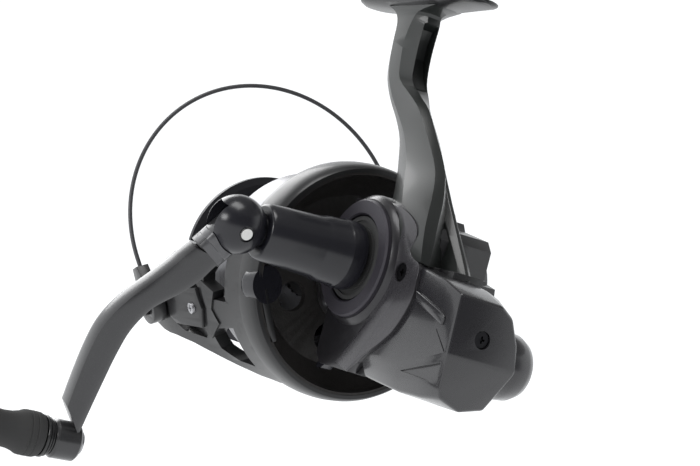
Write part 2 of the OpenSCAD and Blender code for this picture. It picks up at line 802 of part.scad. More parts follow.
module line_clip() {
    color("#2a2a2c") intersection() {
        translate([53, 0, 0]) rotate([90 + rotor_turn + 50, 0, 0]) {
            translate([0, 0, 30]) cylinder(h = 10, r = 3, $fn = 48);
        }
        turn_x([[48, skirt_r + 0.04], [48, skirt_r + 1.2], [58, skirt_r + 1.2], [58, skirt_r + 0.04]]);
    }
}

module drag_knob() {
    color("#202022") difference() {
        turn_x([
            [78.2, 12.4], [78.2, 16.6], [93.8, 16.6], [94.2, knob_r], [97.4, knob_r], [100.8, 16.4],
            [102, 12], [102, 0], [99.8, 0], [99.8, 10], [92, 12.4]
        ]);
        for (a = [0 : 30 : 359]) rotate([a, 0, 0]) translate([0, 0, knob_r + 2]) cyl_x(93, 103, 3, 32);
        translate([101, -14, -1.2]) cube([2, 28, 2.4]);
    }
}

module drag_nut() {
    color("#b0b0b4") difference() {
        union() {
            cyl_x(91, 95, 8.2, 6);
            cyl_x(88.5, 91, 5);
        }
        cyl_x(80, 99.5, shaft_r + fit);
    }
}

// close coil from a circle carried round by a twist
module coil(height, mean_r, wire, turns) {
    linear_extrude(height, twist = -360 * turns, slices = 20 * turns, $fn = 12) {
        translate([mean_r, 0]) circle(wire, $fn = 12);
    }
}

module drag_spring() {
    color("#c8c8cc") translate([78.4, 0, 0]) rotate([0, 90, 0]) coil(10, 7.6, 0.9, 4);
}

// ---------------------------------------------------------------- handle

module lock_collar() {
    color("#1a1a1c") at_crank() difference() {
        turn_y([
            [17.9, crank_r + fit], [17.9, 10.6], [18.4, 11.1], [24, 11.1], [24.5, 10.8], [30, 10.6],
            [32.4, 9.9], [42, 9.4], [50.6, 8.9], [51.8, 8.1], [51.8, 5.2], [30.6, 5.2],
            [30.6, crank_r + fit]
        ]);
        for (a = [0 : 45 : 359]) rotate([0, a, 0]) translate([13.2, 26.6, 0]) rotate([-90, 0, 5]) {
            cylinder(h = 22, r = 3.2, $fn = 48);
        }
    }
}

// turn about the fold pin's axis, in crank coordinates
module at_ball() {
    translate([0, ball_y, 0]) children();
}

module ball_knuckle() {
    color("#141416") in_crank() difference() {
        union() {
            intersection() {
                at_ball() sphere(ball_r);
                cyl_y(52.1, ball_y + ball_r + 1, ball_r + 1);
            }
            cyl_y(31, 54, 5);
        }
        cyl_y(30, 44.2, crank_r + fit);
        at_ball() cyl_x(-3.1, 3.1, 5.8);
        at_ball() rotate([0, 0, 90]) slab(-3.1, 3.1, [
            [5.7, 0], [11, -4], [11, -12], [-6.2, -12], [-5.9, 0]
        ]);
        at_ball() cyl_x(-10, 10, 1.8 + fit);
    }
}

module fold_pin() {
    color("#d0d0d4") in_crank() at_ball() cyl_x(-8.9, 8.9, 1.8);
}

// edges of the gooseneck, out from the shaft and down the arm
arm_inner = [
    [60.2, -9.2], [65.3, -19.2], [69.9, -24.8], [76.8, -31.6], [80.8, -39.8], [82.3, -48.6],
    [83, -57.3], [83.7, -67.8], [84.2, -77]
];
arm_outer = [
    [91.4, -77], [91.5, -68], [91.7, -59.3], [91.6, -50.2], [90.8, -42.2], [88.8, -36.1],
    [85.3, -29.8], [80.1, -22.6], [75.8, -16.2], [70.2, -7.6], [67.4, -4.4]
];

module crank_arm() {
    half = 4.4;
    slim = 0.9;
    color("#2d2d30") in_crank() difference() {
        union() {
            difference() {
                arm_slab(half - slim, concat(arm_inner, arm_outer));
                at_ball() sphere(ball_r + 0.3);
            }
            difference() {
                arm_slab(half, concat(
                    [for (p = arm_inner) p + [0.9, 0.6]], [for (p = arm_outer) p - [0.9, 0.6]]
                ));
                at_ball() sphere(ball_r + 0.3);
            }
            at_ball() cyl_x(-2.9, 2.9, 5.5);
            arm_slab(2.9, [[64.6, -2.6], [69.5, -8], [62.4, -12], [56.1, -3.8]]);
            translate([0, 0, -crank_l]) cyl_y(82.8, 91.5, 6);
        }
        at_ball() cyl_x(-10, 10, 1.8 + fit);
        translate([0, 0, -crank_l]) cyl_y(80, 95, 2 + fit);
    }
}

// plate across the crank's X, from an outline in y and z
module arm_slab(half, points) {
    rotate([90, 0, 90]) translate([0, 0, -half]) linear_extrude(2 * half) polygon(points);
}

module at_knob() {
    in_crank() translate([0, 0, -crank_l]) children();
}

module knob_spindle() {
    color("#b8b8bc") at_knob() {
        cyl_y(82.7, 130, 2);
        cyl_y(81.6, 82.7, 3.6);
        cyl_y(128, 130.4, 3);
    }
}

module knob_bushes() {
    color("#d8d2c0") at_knob() {
        pipe_y(95.4, 100, 3.4, 2 + fit);
        pipe_y(121, 126, 3.4, 2 + fit);
    }
}

module knob_grip() {
    color("#2a2a2b") at_knob() turn_y([
        [94.9, 3.45], [94.9, 6.2], [96.4, 6.9], [101.6, 6.9], [104, 5.9], [108, 5.5], [113, 6],
        [120, 7.4], [126, 8.3], [130, 8.2], [133, 7], [134.4, 5.4], [134.4, 3.45]
    ]);
}

module knob_rings() {
    color("#0f0f10") at_knob() {
        pipe_y(91.7, 92.5, 5.5, 2 + fit);
        pipe_y(92.7, 93.5, 6.1, 2 + fit);
        pipe_y(93.7, 94.6, 6.5, 2 + fit);
    }
}

module knob_end_cap() {
    color("#4a4a4d") at_knob() turn_y([
        [131, 0], [131, 3.4], [134.5, 3.4], [134.5, 5.2], [135.5, 4.6], [grip_end, 3.2], [grip_end, 0]
    ]);
}

// ---------------------------------------------------------------- the reel

seated() body_housing();
seated() side_cover();
seated() rear_cover();
seated() cover_screws();
seated() rear_cover_screw();
seated() bearing_ring();
seated() crank_seal();
seated() left_drive_bearing();
seated() right_drive_bearing();
seated() right_cap();
seated() pinion_bush();
seated() pinion_bearing();
seated() clutch_housing();
seated() clutch_rollers();
seated() clutch_screws();
seated() slider_rods();
seated() osc_axle();
seated() anti_reverse_lever();
seated() drive_gear();
seated() crank_shaft();
seated() lock_collar();
seated() ball_knuckle();
seated() crank_arm();
seated() fold_pin();
seated() knob_spindle();
seated() knob_grip();
seated() knob_bushes();
seated() knob_rings();
seated() knob_end_cap();
seated() pinion_gear();
seated() clutch_sleeve();
seated() rotor_frame();
seated() rotor_nut();
seated() near_arm_cover();
seated() far_arm_cover();
seated() arm_cover_screws();
seated() bail_spring();
seated() bail_pivot_screws();
seated() bail_wire();
seated() bail_holder();
seated() roller_arm();
seated() roller_screw();
seated() line_roller();
seated() main_shaft();
seated() cross_slider();
seated() slider_screws();
seated() click_gear();
seated() spool_washers();
seated() spool();
seated() spool_skirt();
seated() spool_lip();
seated() drag_washers();
seated() washer_clip();
seated() line_clip();
seated() drag_knob();
seated() drag_nut();
seated() drag_spring();
seated() osc_gear();
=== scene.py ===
"""Visual model of a long-cast spinning reel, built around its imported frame.

Each sub-assembly is a class that holds its own sizes, builds its meshes and dresses them.
Sizes are in millimetres in the reel's coordinates: X forward along the main shaft, Y to the
crank side, Z up to the rod, and the origin where the crank axis crosses the shaft's plane.
place() then moves a finished mesh into the frame's metres.
"""

import json
import logging
import math
from dataclasses import dataclass, field
from enum import Enum
from typing import Any, Iterable, Sequence

import bmesh
import bpy
from mathutils import Matrix, Vector


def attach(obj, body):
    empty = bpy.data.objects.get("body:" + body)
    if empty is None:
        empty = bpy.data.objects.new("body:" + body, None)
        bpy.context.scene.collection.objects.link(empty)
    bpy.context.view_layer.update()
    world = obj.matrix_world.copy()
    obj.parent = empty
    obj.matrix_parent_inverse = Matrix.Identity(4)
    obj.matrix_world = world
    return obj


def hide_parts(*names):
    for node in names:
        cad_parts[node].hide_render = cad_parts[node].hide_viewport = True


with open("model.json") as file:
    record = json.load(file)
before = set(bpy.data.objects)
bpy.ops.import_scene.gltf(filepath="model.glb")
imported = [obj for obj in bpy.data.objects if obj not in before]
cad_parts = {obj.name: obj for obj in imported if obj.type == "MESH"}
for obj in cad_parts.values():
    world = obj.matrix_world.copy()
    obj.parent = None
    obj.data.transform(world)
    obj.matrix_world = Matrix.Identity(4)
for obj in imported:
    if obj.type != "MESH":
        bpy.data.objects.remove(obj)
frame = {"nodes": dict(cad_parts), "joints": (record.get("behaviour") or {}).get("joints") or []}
log = logging.getLogger("reel")

Point2 = tuple[float, float]
Point3 = tuple[float, float, float]

MM = 0.001
MERGE = 0.002  # two corners closer than this, in millimetres, are one
TURN = 2 * math.pi


# ---------------------------------------------------------------- places


class Reel:
    """The reel's own coordinate systems, read from the joints of the record."""

    def __init__(self, joints: Sequence[dict[str, Any]]) -> None:
        """Reads the axes.

        Args:
            joints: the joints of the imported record.
        """
        rows = {joint["name"]: joint for joint in joints}
        x_axis, y_axis = Vector((1, 0, 0)), Vector((0, 1, 0))
        shaft = Vector(rows["rotor_spin"]["pos_m"])
        crank = Vector(rows["crank_turn"]["pos_m"])
        fold = -Vector(rows["handle_fold"]["axis"]).normalized()
        pivot = Vector(rows["bail_flip"]["pos_m"])
        arm = Vector(rows["bail_flip"]["axis"]).normalized()
        leg = Vector(rows["line_roller_spin"]["pos_m"]) - pivot
        leg = (leg - arm * leg.dot(arm)).normalized()
        self.shaft = self.axes(shaft, x_axis, y_axis)
        self.crank = self.axes(crank, fold, y_axis)
        self.rotor = self.axes(shaft, x_axis, arm)
        self.far_side = self.axes(shaft, x_axis, -arm)
        self.bail = self.axes(pivot, arm.cross(leg), arm)

    @staticmethod
    def axes(origin: Vector, x_axis: Vector, y_axis: Vector) -> Matrix:
        """A matrix from millimetres on the given axes to the frame's metres.

        Args:
            origin: where the axes cross, in metres.
            x_axis: direction of local X.
            y_axis: direction of local Y, square to X.

        Returns:
            The 4 by 4 matrix.
        """
        z_axis = x_axis.cross(y_axis)
        turn = Matrix((x_axis, y_axis, z_axis)).transposed().to_4x4()
        return Matrix.Translation(origin) @ turn @ Matrix.Scale(MM, 4)


# ---------------------------------------------------------------- modelling steps


class Axis(Enum):
    """The axis that a turned piece is spun about."""

    X = (1, 0, 0)
    Y = (0, 1, 0)
    Z = (0, 0, 1)

    def point(self, along: float, out: float) -> Point3:
        """A point of a profile, from its place along the axis and its radius.

        Args:
            along: the place along the axis.
            out: the radius.

        Returns:
            The point.
        """
        return {
            Axis.X: (along, 0, out),
            Axis.Y: (0, along, out),
            Axis.Z: (out, 0, along),
        }[self]


class Join(Enum):
    """What a second solid does to the first."""

    CUT = "DIFFERENCE"
    ADD = "UNION"
    KEEP = "INTERSECT"


class Bench:
    """Modelling steps, each done with Blender's own operators on one mesh."""

    @staticmethod
    def clear() -> None:
        """Leaves edit mode and deselects everything."""
        if bpy.context.object and bpy.context.object.mode != "OBJECT":
            bpy.ops.object.mode_set(mode="OBJECT")
        bpy.ops.object.select_all(action="DESELECT")

    @staticmethod
    def take(piece: bpy.types.Object) -> None:
        """Makes one object the selected and active one.

        Args:
            piece: the object.
        """
        Bench.clear()
        piece.select_set(True)
        bpy.context.view_layer.objects.active = piece

    @staticmethod
    def edit(piece: bpy.types.Object) -> None:
        """Opens one object in edit mode with all of it selected.

        Args:
            piece: the object.
        """
        Bench.take(piece)
        bpy.ops.object.mode_set(mode="EDIT")
        bpy.ops.mesh.select_all(action="SELECT")

    @staticmethod
    def ring(name: str, points: Sequence[Point3], filled: bool = False) -> bpy.types.Object:
        """A closed line through the points.

        Args:
            name: the object's name.
            points: corners in order.
            filled: whether a face closes the line.

        Returns:
            The new object.
        """
        Bench.clear()
        bpy.ops.mesh.primitive_circle_add(
            vertices=len(points), radius=1, fill_type="NGON" if filled else "NOTHING"
        )
        piece = bpy.context.object
        piece.name = piece.data.name = name
        for corner, place in zip(piece.data.vertices, points):
            corner.co = place
        return piece

    @staticmethod
    def open_line(piece: bpy.types.Object) -> None:
        """Deletes the edge between a ring's last corner and its first.

        Args:
            piece: the ring.
        """
        ends = {0, len(piece.data.vertices) - 1}
        for corner in piece.data.vertices:
            corner.select = corner.index in ends
        for edge in piece.data.edges:
            edge.select = set(edge.vertices) == ends
        Bench.take(piece)
        bpy.ops.object.mode_set(mode="EDIT")
        bpy.ops.mesh.select_mode(type="EDGE")
        bpy.ops.mesh.delete(type="EDGE_FACE")
        bpy.ops.mesh.select_mode(type="VERT")
        bpy.ops.object.mode_set(mode="OBJECT")

    @staticmethod
    def tidy(piece: bpy.types.Object) -> None:
        """Merges doubled corners and points every face outwards.

        Args:
            piece: the object.
        """
        Bench.edit(piece)
        bpy.ops.mesh.remove_doubles(threshold=MERGE)
        bpy.ops.mesh.normals_make_consistent(inside=False)
        bpy.ops.object.mode_set(mode="OBJECT")

    @staticmethod
    def lathe(
        name: str, profile: Sequence[Point2], axis: Axis, steps: int = 96
    ) -> bpy.types.Object:
        """A solid of revolution.

        Args:
            name: the object's name.
            profile: places along the axis and radii, as a closed outline. An outline whose
                first and last points are on the axis is left open there.
            axis: the axis to spin about.
            steps: faces around.

        Returns:
            The new object.
        """
        piece = Bench.ring(name, [axis.point(*p) for p in profile])
        if profile[0][1] < MERGE and profile[-1][1] < MERGE:
            Bench.open_line(piece)
        Bench.edit(piece)
        bpy.ops.mesh.spin(steps=steps, angle=TURN, center=(0, 0, 0), axis=axis.value)
        Bench.tidy(piece)
        return piece

    @staticmethod
    def plate(
        name: str, outline: Sequence[Point2], low: float, high: float
    ) -> bpy.types.Object:
        """A plate across Y.

        Args:
            name: the object's name.
            outline: corners in x and z.
            low: its first face.
            high: its second face.

        Returns:
            The new object.
        """
        piece = Bench.ring(name, [(x, low, z) for x, z in outline], filled=True)
        Bench.edit(piece)
        bpy.ops.mesh.extrude_region_move(
            TRANSFORM_OT_translate={"value": (0, high - low, 0)}
        )
        Bench.tidy(piece)
        return piece

    @staticmethod
    def rod(
        name: str, start: Point3, radius: float, length: float, axis: Axis, sides: int = 48
    ) -> bpy.types.Object:
        """A round rod from a point along an axis, as a lathed bar with plain ends.

        Args:
            name: the object's name.
            start: where the rod starts.
            radius: its radius.
            length: its length.
            axis: the way it points.
            sides: how many sides it has.

        Returns:
            The rod.
        """
        piece = Bench.lathe(
            name, [(0, 0), (0, radius), (length, radius), (length, 0)], axis, sides
        )
        piece.data.transform(Matrix.Translation(start))
        return piece

    @staticmethod
    def loft(
        name: str,
        rings: Sequence[Sequence[Point3]],
        closed: bool = False,
        ends: Sequence[Sequence[int]] = (),
    ) -> bpy.types.Object:
        """A skin over rings of equally many corners, extruded ring by ring.

        Args:
            name: the object's name.
            rings: the sections in order.
            closed: whether the last ring joins the first, else both ends are filled.
            ends: corners of each flat face that closes the last ring, else it is one face.

        Returns:
            The new object.
        """
        piece = Bench.ring(name, rings[0])
        Bench.edit(piece)
        last = list(range(len(rings[0])))
        stations = list(rings[1:]) + ([rings[0]] if closed else [])
        for section in stations:
            bpy.ops.mesh.extrude_region_move(TRANSFORM_OT_translate={"value": (0, 0, 0)})
            mesh = bmesh.from_edit_mesh(piece.data)
            mesh.verts.ensure_lookup_table()
            mesh.verts.index_update()
            grown = []
            for index in last:
                corner = mesh.verts[index]
                grown.append(
                    next(
                        edge.other_vert(corner).index
                        for edge in corner.link_edges
                        if edge.other_vert(corner).select
                    )
                )
            for index, place in zip(grown, section):
                mesh.verts[index].co = place
            bmesh.update_edit_mesh(piece.data)
            last = grown
        for face in ends:
            mesh = bmesh.from_edit_mesh(piece.data)
            mesh.verts.ensure_lookup_table()
            for corner in mesh.verts:
                corner.select = False
            mesh.select_flush(False)
            for k in face:
                mesh.verts[last[k]].select = True
            bmesh.update_edit_mesh(piece.data)
            bpy.ops.mesh.edge_face_add()
        bpy.ops.mesh.select_all(action="SELECT")
        bpy.ops.mesh.remove_doubles(threshold=MERGE)
        if not closed:
            bpy.ops.mesh.fill_holes(sides=0)
        Bench.tidy(piece)
        return piece

    @staticmethod
    def combine(
        piece: bpy.types.Object, tool: bpy.types.Object, how: Join = Join.CUT
    ) -> bpy.types.Object:
        """Cuts, adds or intersects a second solid, which is used up.

        Args:
            piece: the solid that is kept.
            tool: the second solid.
            how: what the second solid does.

        Returns:
            The changed object.
        """
        Bench.take(piece)
        step = piece.modifiers.new("join", "BOOLEAN")
        step.operation = how.value
        step.solver = "EXACT"
        step.object = tool
        bpy.ops.object.modifier_apply(modifier=step.name)
        bpy.data.objects.remove(tool)
        return piece

    @staticmethod
    def bevel(
        piece: bpy.types.Object, width: float, segments: int = 2, angle: float = 30
    ) -> bpy.types.Object:
        """Rounds the edges that are sharper than an angle.

        Args:
            piece: the object, still in millimetres.
            width: how wide the round is.
            segments: faces across the round.
            angle: the least angle between two faces, in degrees.

        Returns:
            The changed object.
        """
        Bench.take(piece)
        step = piece.modifiers.new("round", "BEVEL")
        step.width = width
        step.segments = segments
        step.limit_method = "ANGLE"
        step.angle_limit = math.radians(angle)
        step.use_clamp_overlap = True
        step.miter_outer = "MITER_ARC"
        bpy.ops.object.modifier_apply(modifier=step.name)
        return piece

    @staticmethod
    def smooth(piece: bpy.types.Object, angle: float = 32) -> None:
        """Shades the object smooth except at edges sharper than the angle."""
        Bench.take(piece)
        bpy.ops.object.shade_smooth_by_angle(angle=math.radians(angle))

    @staticmethod
    def copied(node: str, name: str) -> bpy.types.Object:
        """A merged copy of a CAD node's mesh, in millimetres and with its flat faces whole.

        Args:
            node: the CAD node.
            name: the copy's name.

        Returns:
            The new object, in the frame's axes.
        """
        Bench.take(frame["nodes"][node])
        bpy.ops.object.duplicate()
        piece = bpy.context.object
        piece.name = piece.data.name = name
        for key in list(piece.keys()):
            del piece[key]
        piece.parent = None
        piece.data.materials.clear()
        piece.data.transform(Matrix.Scale(1 / MM, 4))
        Bench.edit(piece)
        bpy.ops.mesh.remove_doubles(threshold=MERGE)
        bpy.ops.mesh.dissolve_limited(angle_limit=math.radians(0.6))
        bpy.ops.object.mode_set(mode="OBJECT")
        return piece


# ---------------------------------------------------------------- shader maths


class Wire:
    """A shader socket that takes part in arithmetic."""

    def __init__(self, work: "Shading", socket: bpy.types.NodeSocket) -> None:
        """Holds the tree's helper and one output socket."""
        self.work = work
        self.socket = socket

    def math(self, operation: str, *others: Any) -> "Wire":
        """One Math node on this value and up to two others."""
        node = self.work.node("Math", {"operation": operation}, [self, *others])
        return self.work.out(node)

    def __add__(self, other: Any) -> "Wire":
        """Self plus other."""
        return self.math("ADD", other)

    __radd__ = __add__

    def __mul__(self, other: Any) -> "Wire":
        """Self times other."""
        return self.math("MULTIPLY", other)

    __rmul__ = __mul__

    def __sub__(self, other: Any) -> "Wire":
        """Self less other."""
        return self.math("SUBTRACT", other)

    def __rsub__(self, other: Any) -> "Wire":
        """Other less self."""
        return (self * -1) + other

    def __truediv__(self, other: Any) -> "Wire":
        """Self over other."""
        return self.math("DIVIDE", other)

    def __pow__(self, other: Any) -> "Wire":
        """Self to a power."""
        return self.math("POWER", other)

    def over(self, level: float, width: float) -> "Wire":
        """A soft step from 0 to 1 around a level.

        Args:
            level: where the step is.
            width: how wide it is.

        Returns:
            The stepped value.
        """
        node = self.work.node(
            "MapRange",
            {"interpolation_type": "SMOOTHSTEP"},
            [self, level - width / 2, level + width / 2, 0.0, 1.0],
        )
        return self.work.out(node)


class Shading:
    """Builds one material's nodes."""

    def __init__(self, name: str) -> None:
        """Starts a material with one Principled shader.

        Args:
            name: the material's name.
        """
        self.material = bpy.data.materials.new(name)
        self.material.use_nodes = True
        self.tree = self.material.node_tree
        self.shader = self.tree.nodes["Principled BSDF"]
        self.place = self.out(self.node("TexCoord", {}, []), "Object")

    def node(self, kind: str, settings: dict[str, Any], values: Any) -> bpy.types.Node:
        """Adds a node.

        Args:
            kind: its type, with or without Blender's prefix.
            settings: properties that are set first.
            values: numbers or wires for its inputs, in order or by name.

        Returns:
            The node.
        """
        prefix = "" if kind.startswith("ShaderNode") else "ShaderNode"
        node = self.tree.nodes.new(prefix + kind)
        for key, value in settings.items():
            setattr(node, key, value)
        rows = values.items() if isinstance(values, dict) else enumerate(values)
        for key, value in rows:
            if isinstance(value, Wire):
                self.tree.links.new(value.socket, node.inputs[key])
            else:
                node.inputs[key].default_value = value
        return node

    def out(self, node: bpy.types.Node, name: str | int = 0) -> Wire:
        """One output of a node as a wire."""
        return Wire(self, node.outputs[name])

    def noise(self, scale: float, detail: float = 3, rough: float = 0.5, stretch: Point3 = (1, 1, 1)) -> Wire:
        """Noise over the object's own coordinates.

        Args:
            scale: waves per metre.
            detail: octaves.
            rough: how strong the finer octaves are.
            stretch: factors on the three axes.

        Returns:
            The noise, about 0 to 1.
        """
        place = self.place
        if stretch != (1, 1, 1):
            place = self.out(self.node("Mapping", {}, {"Vector": place, "Scale": stretch}))
        node = self.node(
            "TexNoise", {}, {"Vector": place, "Scale": scale, "Detail": detail, "Roughness": rough}
        )
        return self.out(node, "Fac")

    def mix(self, factor: Any, low: Sequence[float], high: Sequence[float]) -> Wire:
        """A colour between two others."""
        node = self.node("Mix", {"data_type": "RGBA"}, {0: factor, 6: low, 7: high})
        return self.out(node, 2)

    def bump(self, height: Wire, strength: float, distance: float) -> None:
        """Feeds a height in metres times the distance to the shader's normal.

        Args:
            height: the height.
            strength: how much of it shows.
            distance: the height of 1, in metres.
        """
        node = self.node(
            "Bump", {}, {"Strength": strength, "Distance": distance, "Height": height}
        )
        self.tree.links.new(node.outputs[0], self.shader.inputs["Normal"])

    def feed(self, name: str, value: Any) -> None:
        """Sets or links one input of the shader.

        Args:
            name: the input.
            value: a number, a colour or a link.
        """
        if isinstance(value, Wire):
            self.tree.links.new(value.socket, self.shader.inputs[name])
        else:
            self.shader.inputs[name].default_value = value


Colour = tuple[float, float, float]


def rgba(colour: Colour, factor: float = 1.0) -> tuple[float, float, float, float]:
    """A colour with its alpha, made lighter or darker."""
    return (colour[0] * factor, colour[1] * factor, colour[2] * factor, 1.0)


@dataclass(frozen=True)
class Finish:
    """What every finish has."""

    name: str
    colour: Colour
    rough: float = 0.4

    def grain(self, work: Shading) -> None:
        """Adds the finish's own nodes.

        Args:
            work: the material being built.
        """
        raise NotImplementedError

    def make(self) -> bpy.types.Material:
        """Builds the material, once.

        Returns:
            The material.
        """
        known = bpy.data.materials.get(self.name)
        if known:
            return known
        work = Shading(self.name)
        self.grain(work)
        return work.material


@dataclass(frozen=True)
class Paint(Finish):
    """Sprayed paint on metal: fine flakes, faint orange peel, rubbed patches."""

    metallic: float = 0.35
    coat: float = 0.25
    peel: float = 0.00002
    flake: float = 0.5

    def grain(self, work: Shading) -> None:
        """Adds flakes, peel and rubbed patches.

        Args:
            work: the material being built.
        """
        flakes = work.noise(5200, 1)
        cloud = work.noise(38, 4, 0.6)
        rubbed = work.noise(140, 5, 0.65).over(0.62, 0.12)
        tone = flakes.over(0.66, 0.14) * self.flake + cloud * 0.35
        work.feed("Base Color", work.mix(tone, rgba(self.colour, 0.78), rgba(self.colour, 1.75)))
        work.feed("Roughness", cloud * 0.1 + rubbed * 0.07 + (self.rough - 0.06))
        work.feed("Metallic", self.metallic)
        work.feed("Coat Weight", self.coat)
        work.feed("Coat Roughness", 0.16)
        work.bump(work.noise(900, 2) + flakes * 0.25, 0.35, self.peel)


@dataclass(frozen=True)
class Moulded(Finish):
    """Moulded plastic with a fine eroded grain and faint flow clouds."""

    grain_depth: float = 0.00003
    coat: float = 0.0

    def grain(self, work: Shading) -> None:
        """Adds the grain, flow clouds and dust.

        Args:
            work: the material being built.
        """
        fine = work.noise(3200, 3, 0.6)
        cloud = work.noise(46, 3)
        dust = work.noise(1500, 2, 0.7).over(0.72, 0.08)
        colour = work.mix(cloud, rgba(self.colour, 0.8), rgba(self.colour, 1.25))
        dusty = rgba((self.colour[0] + 0.03, self.colour[1] + 0.03, self.colour[2] + 0.032))
        work.feed("Base Color", work.mix(dust * 0.3, Wire(work, colour.socket), dusty))
        work.feed("Roughness", cloud * 0.1 + fine * 0.08 + (self.rough - 0.08))
        work.feed("Coat Weight", self.coat)
        work.feed("Coat Roughness", 0.1)
        work.bump(fine, 0.5, self.grain_depth)


@dataclass(frozen=True)
class Gloss(Finish):
    """Polished black lacquer with hairline marks and finger smears."""

    def grain(self, work: Shading) -> None:
        """Adds hairlines and smears.

        Args:
            work: the material being built.
        """
        hair = work.noise(600, 2, 0.5, (1, 1, 16)).over(0.7, 0.05)
        smear = work.noise(70, 4, 0.6)
        work.feed("Base Color", work.mix(smear, rgba(self.colour, 0.7), rgba(self.colour, 1.3)))
        work.feed("Roughness", smear * 0.06 + hair * 0.05 + (self.rough - 0.03))
        work.feed("Coat Weight", 0.5)
        work.feed("Coat Roughness", 0.04)
        work.bump(smear + hair * 0.2, 0.12, 0.00002)


@dataclass(frozen=True)
class Metal(Finish):
    """Bare or anodised metal with tool marks around an axis."""

    axis: Axis = Axis.X
    lines: float = 0.00001
    metallic: float = 1.0
    pitch: float = 2600

    def grain(self, work: Shading) -> None:
        """Adds tool marks, drawn out around the axis, and light stains.

        Args:
            work: the material being built.
        """
        along = {Axis.X: (1, 0.02, 0.02), Axis.Y: (0.02, 1, 0.02), Axis.Z: (0.02, 0.02, 1)}
        marks = work.noise(self.pitch, 3, 0.6, along[self.axis])
        stain = work.noise(90, 4, 0.6)
        work.feed("Base Color", work.mix(stain, rgba(self.colour, 0.82), rgba(self.colour, 1.15)))
        work.feed("Roughness", marks * 0.16 + stain * 0.06 + (self.rough - 0.1))
        work.feed("Metallic", self.metallic)
        work.bump(marks, 0.5, self.lines)


@dataclass(frozen=True)
class Rubber(Finish):
    """Matte rubber or foam with a fine open skin."""

    def grain(self, work: Shading) -> None:
        """Adds the skin's pits and worn patches.

        Args:
            work: the material being built.
        """
        pits = work.noise(2600, 4, 0.65)
        worn = work.noise(60, 4, 0.6)
        work.feed("Base Color", work.mix(worn, rgba(self.colour, 0.75), rgba(self.colour, 1.35)))
        work.feed("Roughness", worn * 0.12 + (self.rough - 0.06))
        work.bump(pits, 0.8, 0.00006)


@dataclass(frozen=True)
class Cast(Finish):
    """The rough painted inside of a casting."""

    def grain(self, work: Shading) -> None:
        """Adds coarse mottling and a pebbled skin.

        Args:
            work: the material being built.
        """
        mottle = work.noise(420, 6, 0.7)
        pebble = work.noise(1500, 4, 0.65)
        work.feed("Base Color", work.mix(mottle, rgba(self.colour, 0.45), rgba(self.colour, 1.7)))
        work.feed("Roughness", pebble * 0.25 + (self.rough - 0.12))
        work.feed("Metallic", 0.2)
        work.bump(pebble + mottle * 0.7, 0.7, 0.00018)


# ---------------------------------------------------------------- finishes of this reel

CASE = Moulded("case_black", (0.011, 0.011, 0.012), 0.38, coat=0.2)
COVER = Paint("cover_satin", (0.021, 0.020, 0.023), 0.32)
REAR = Moulded("rear_cover_grey", (0.016, 0.0155, 0.018), 0.27, 0.00001, 0.45)
PLATE = Paint("ring_plate_violet_grey", (0.038, 0.035, 0.044), 0.48, coat=0.0)
ROTOR = Paint("rotor_graphite", (0.020, 0.020, 0.021), 0.40)
INSIDE = Cast("rotor_inside_cast", (0.020, 0.018, 0.017), 0.58)
TRIM = Moulded("trim_black", (0.014, 0.014, 0.015), 0.34, coat=0.2)
GLOSS = Gloss("gloss_black", (0.006, 0.006, 0.007), 0.10)
ARM = Paint("arm_grey", (0.040, 0.040, 0.042), 0.30, coat=0.4)
SATIN = Paint("neck_satin", (0.10, 0.10, 0.105), 0.30, coat=0.2)
BAND = Paint("band_satin", (0.045, 0.043, 0.048), 0.28)
STEM = Moulded("stem_dark", (0.011, 0.013, 0.012), 0.36, 0.00001, 0.25)
GRIP = Rubber("grip_rubber", (0.022, 0.022, 0.022), 0.72)
SEAL = Rubber("seal_rubber", (0.012, 0.012, 0.014), 0.5)
WHITE = Moulded("pin_white", (0.78, 0.78, 0.76), 0.35)
STEEL = Metal("steel_turned", (0.42, 0.42, 0.43), 0.30)
STEEL_Y = Metal("steel_turned_across", (0.42, 0.42, 0.43), 0.30, Axis.Y)
SCREW = Metal("screw_steel", (0.10, 0.10, 0.105), 0.34, Axis.Y)
BLACK_SCREW = Metal("screw_black_oxide", (0.022, 0.022, 0.024), 0.36, Axis.Y)
BRASS = Metal("brass_turned", (0.55, 0.38, 0.14), 0.32)
BRASS_Y = Metal("brass_turned_across", (0.55, 0.38, 0.14), 0.32, Axis.Y)
ALLOY = Metal("alloy_turned", (0.30, 0.30, 0.31), 0.36, Axis.Y)
SPOOL = Metal("spool_anodised", (0.16, 0.16, 0.17), 0.28, Axis.X, 0.000012)
LIP = Gloss("lip_black", (0.008, 0.008, 0.009), 0.14)
WIRE = Metal("wire_dark", (0.055, 0.055, 0.06), 0.30, Axis.Y, 0.000004)
ROLLER = Metal("roller_nitride", (0.50, 0.36, 0.14), 0.22, Axis.Y)
FELT = Rubber("drag_felt", (0.16, 0.12, 0.09), 0.85)

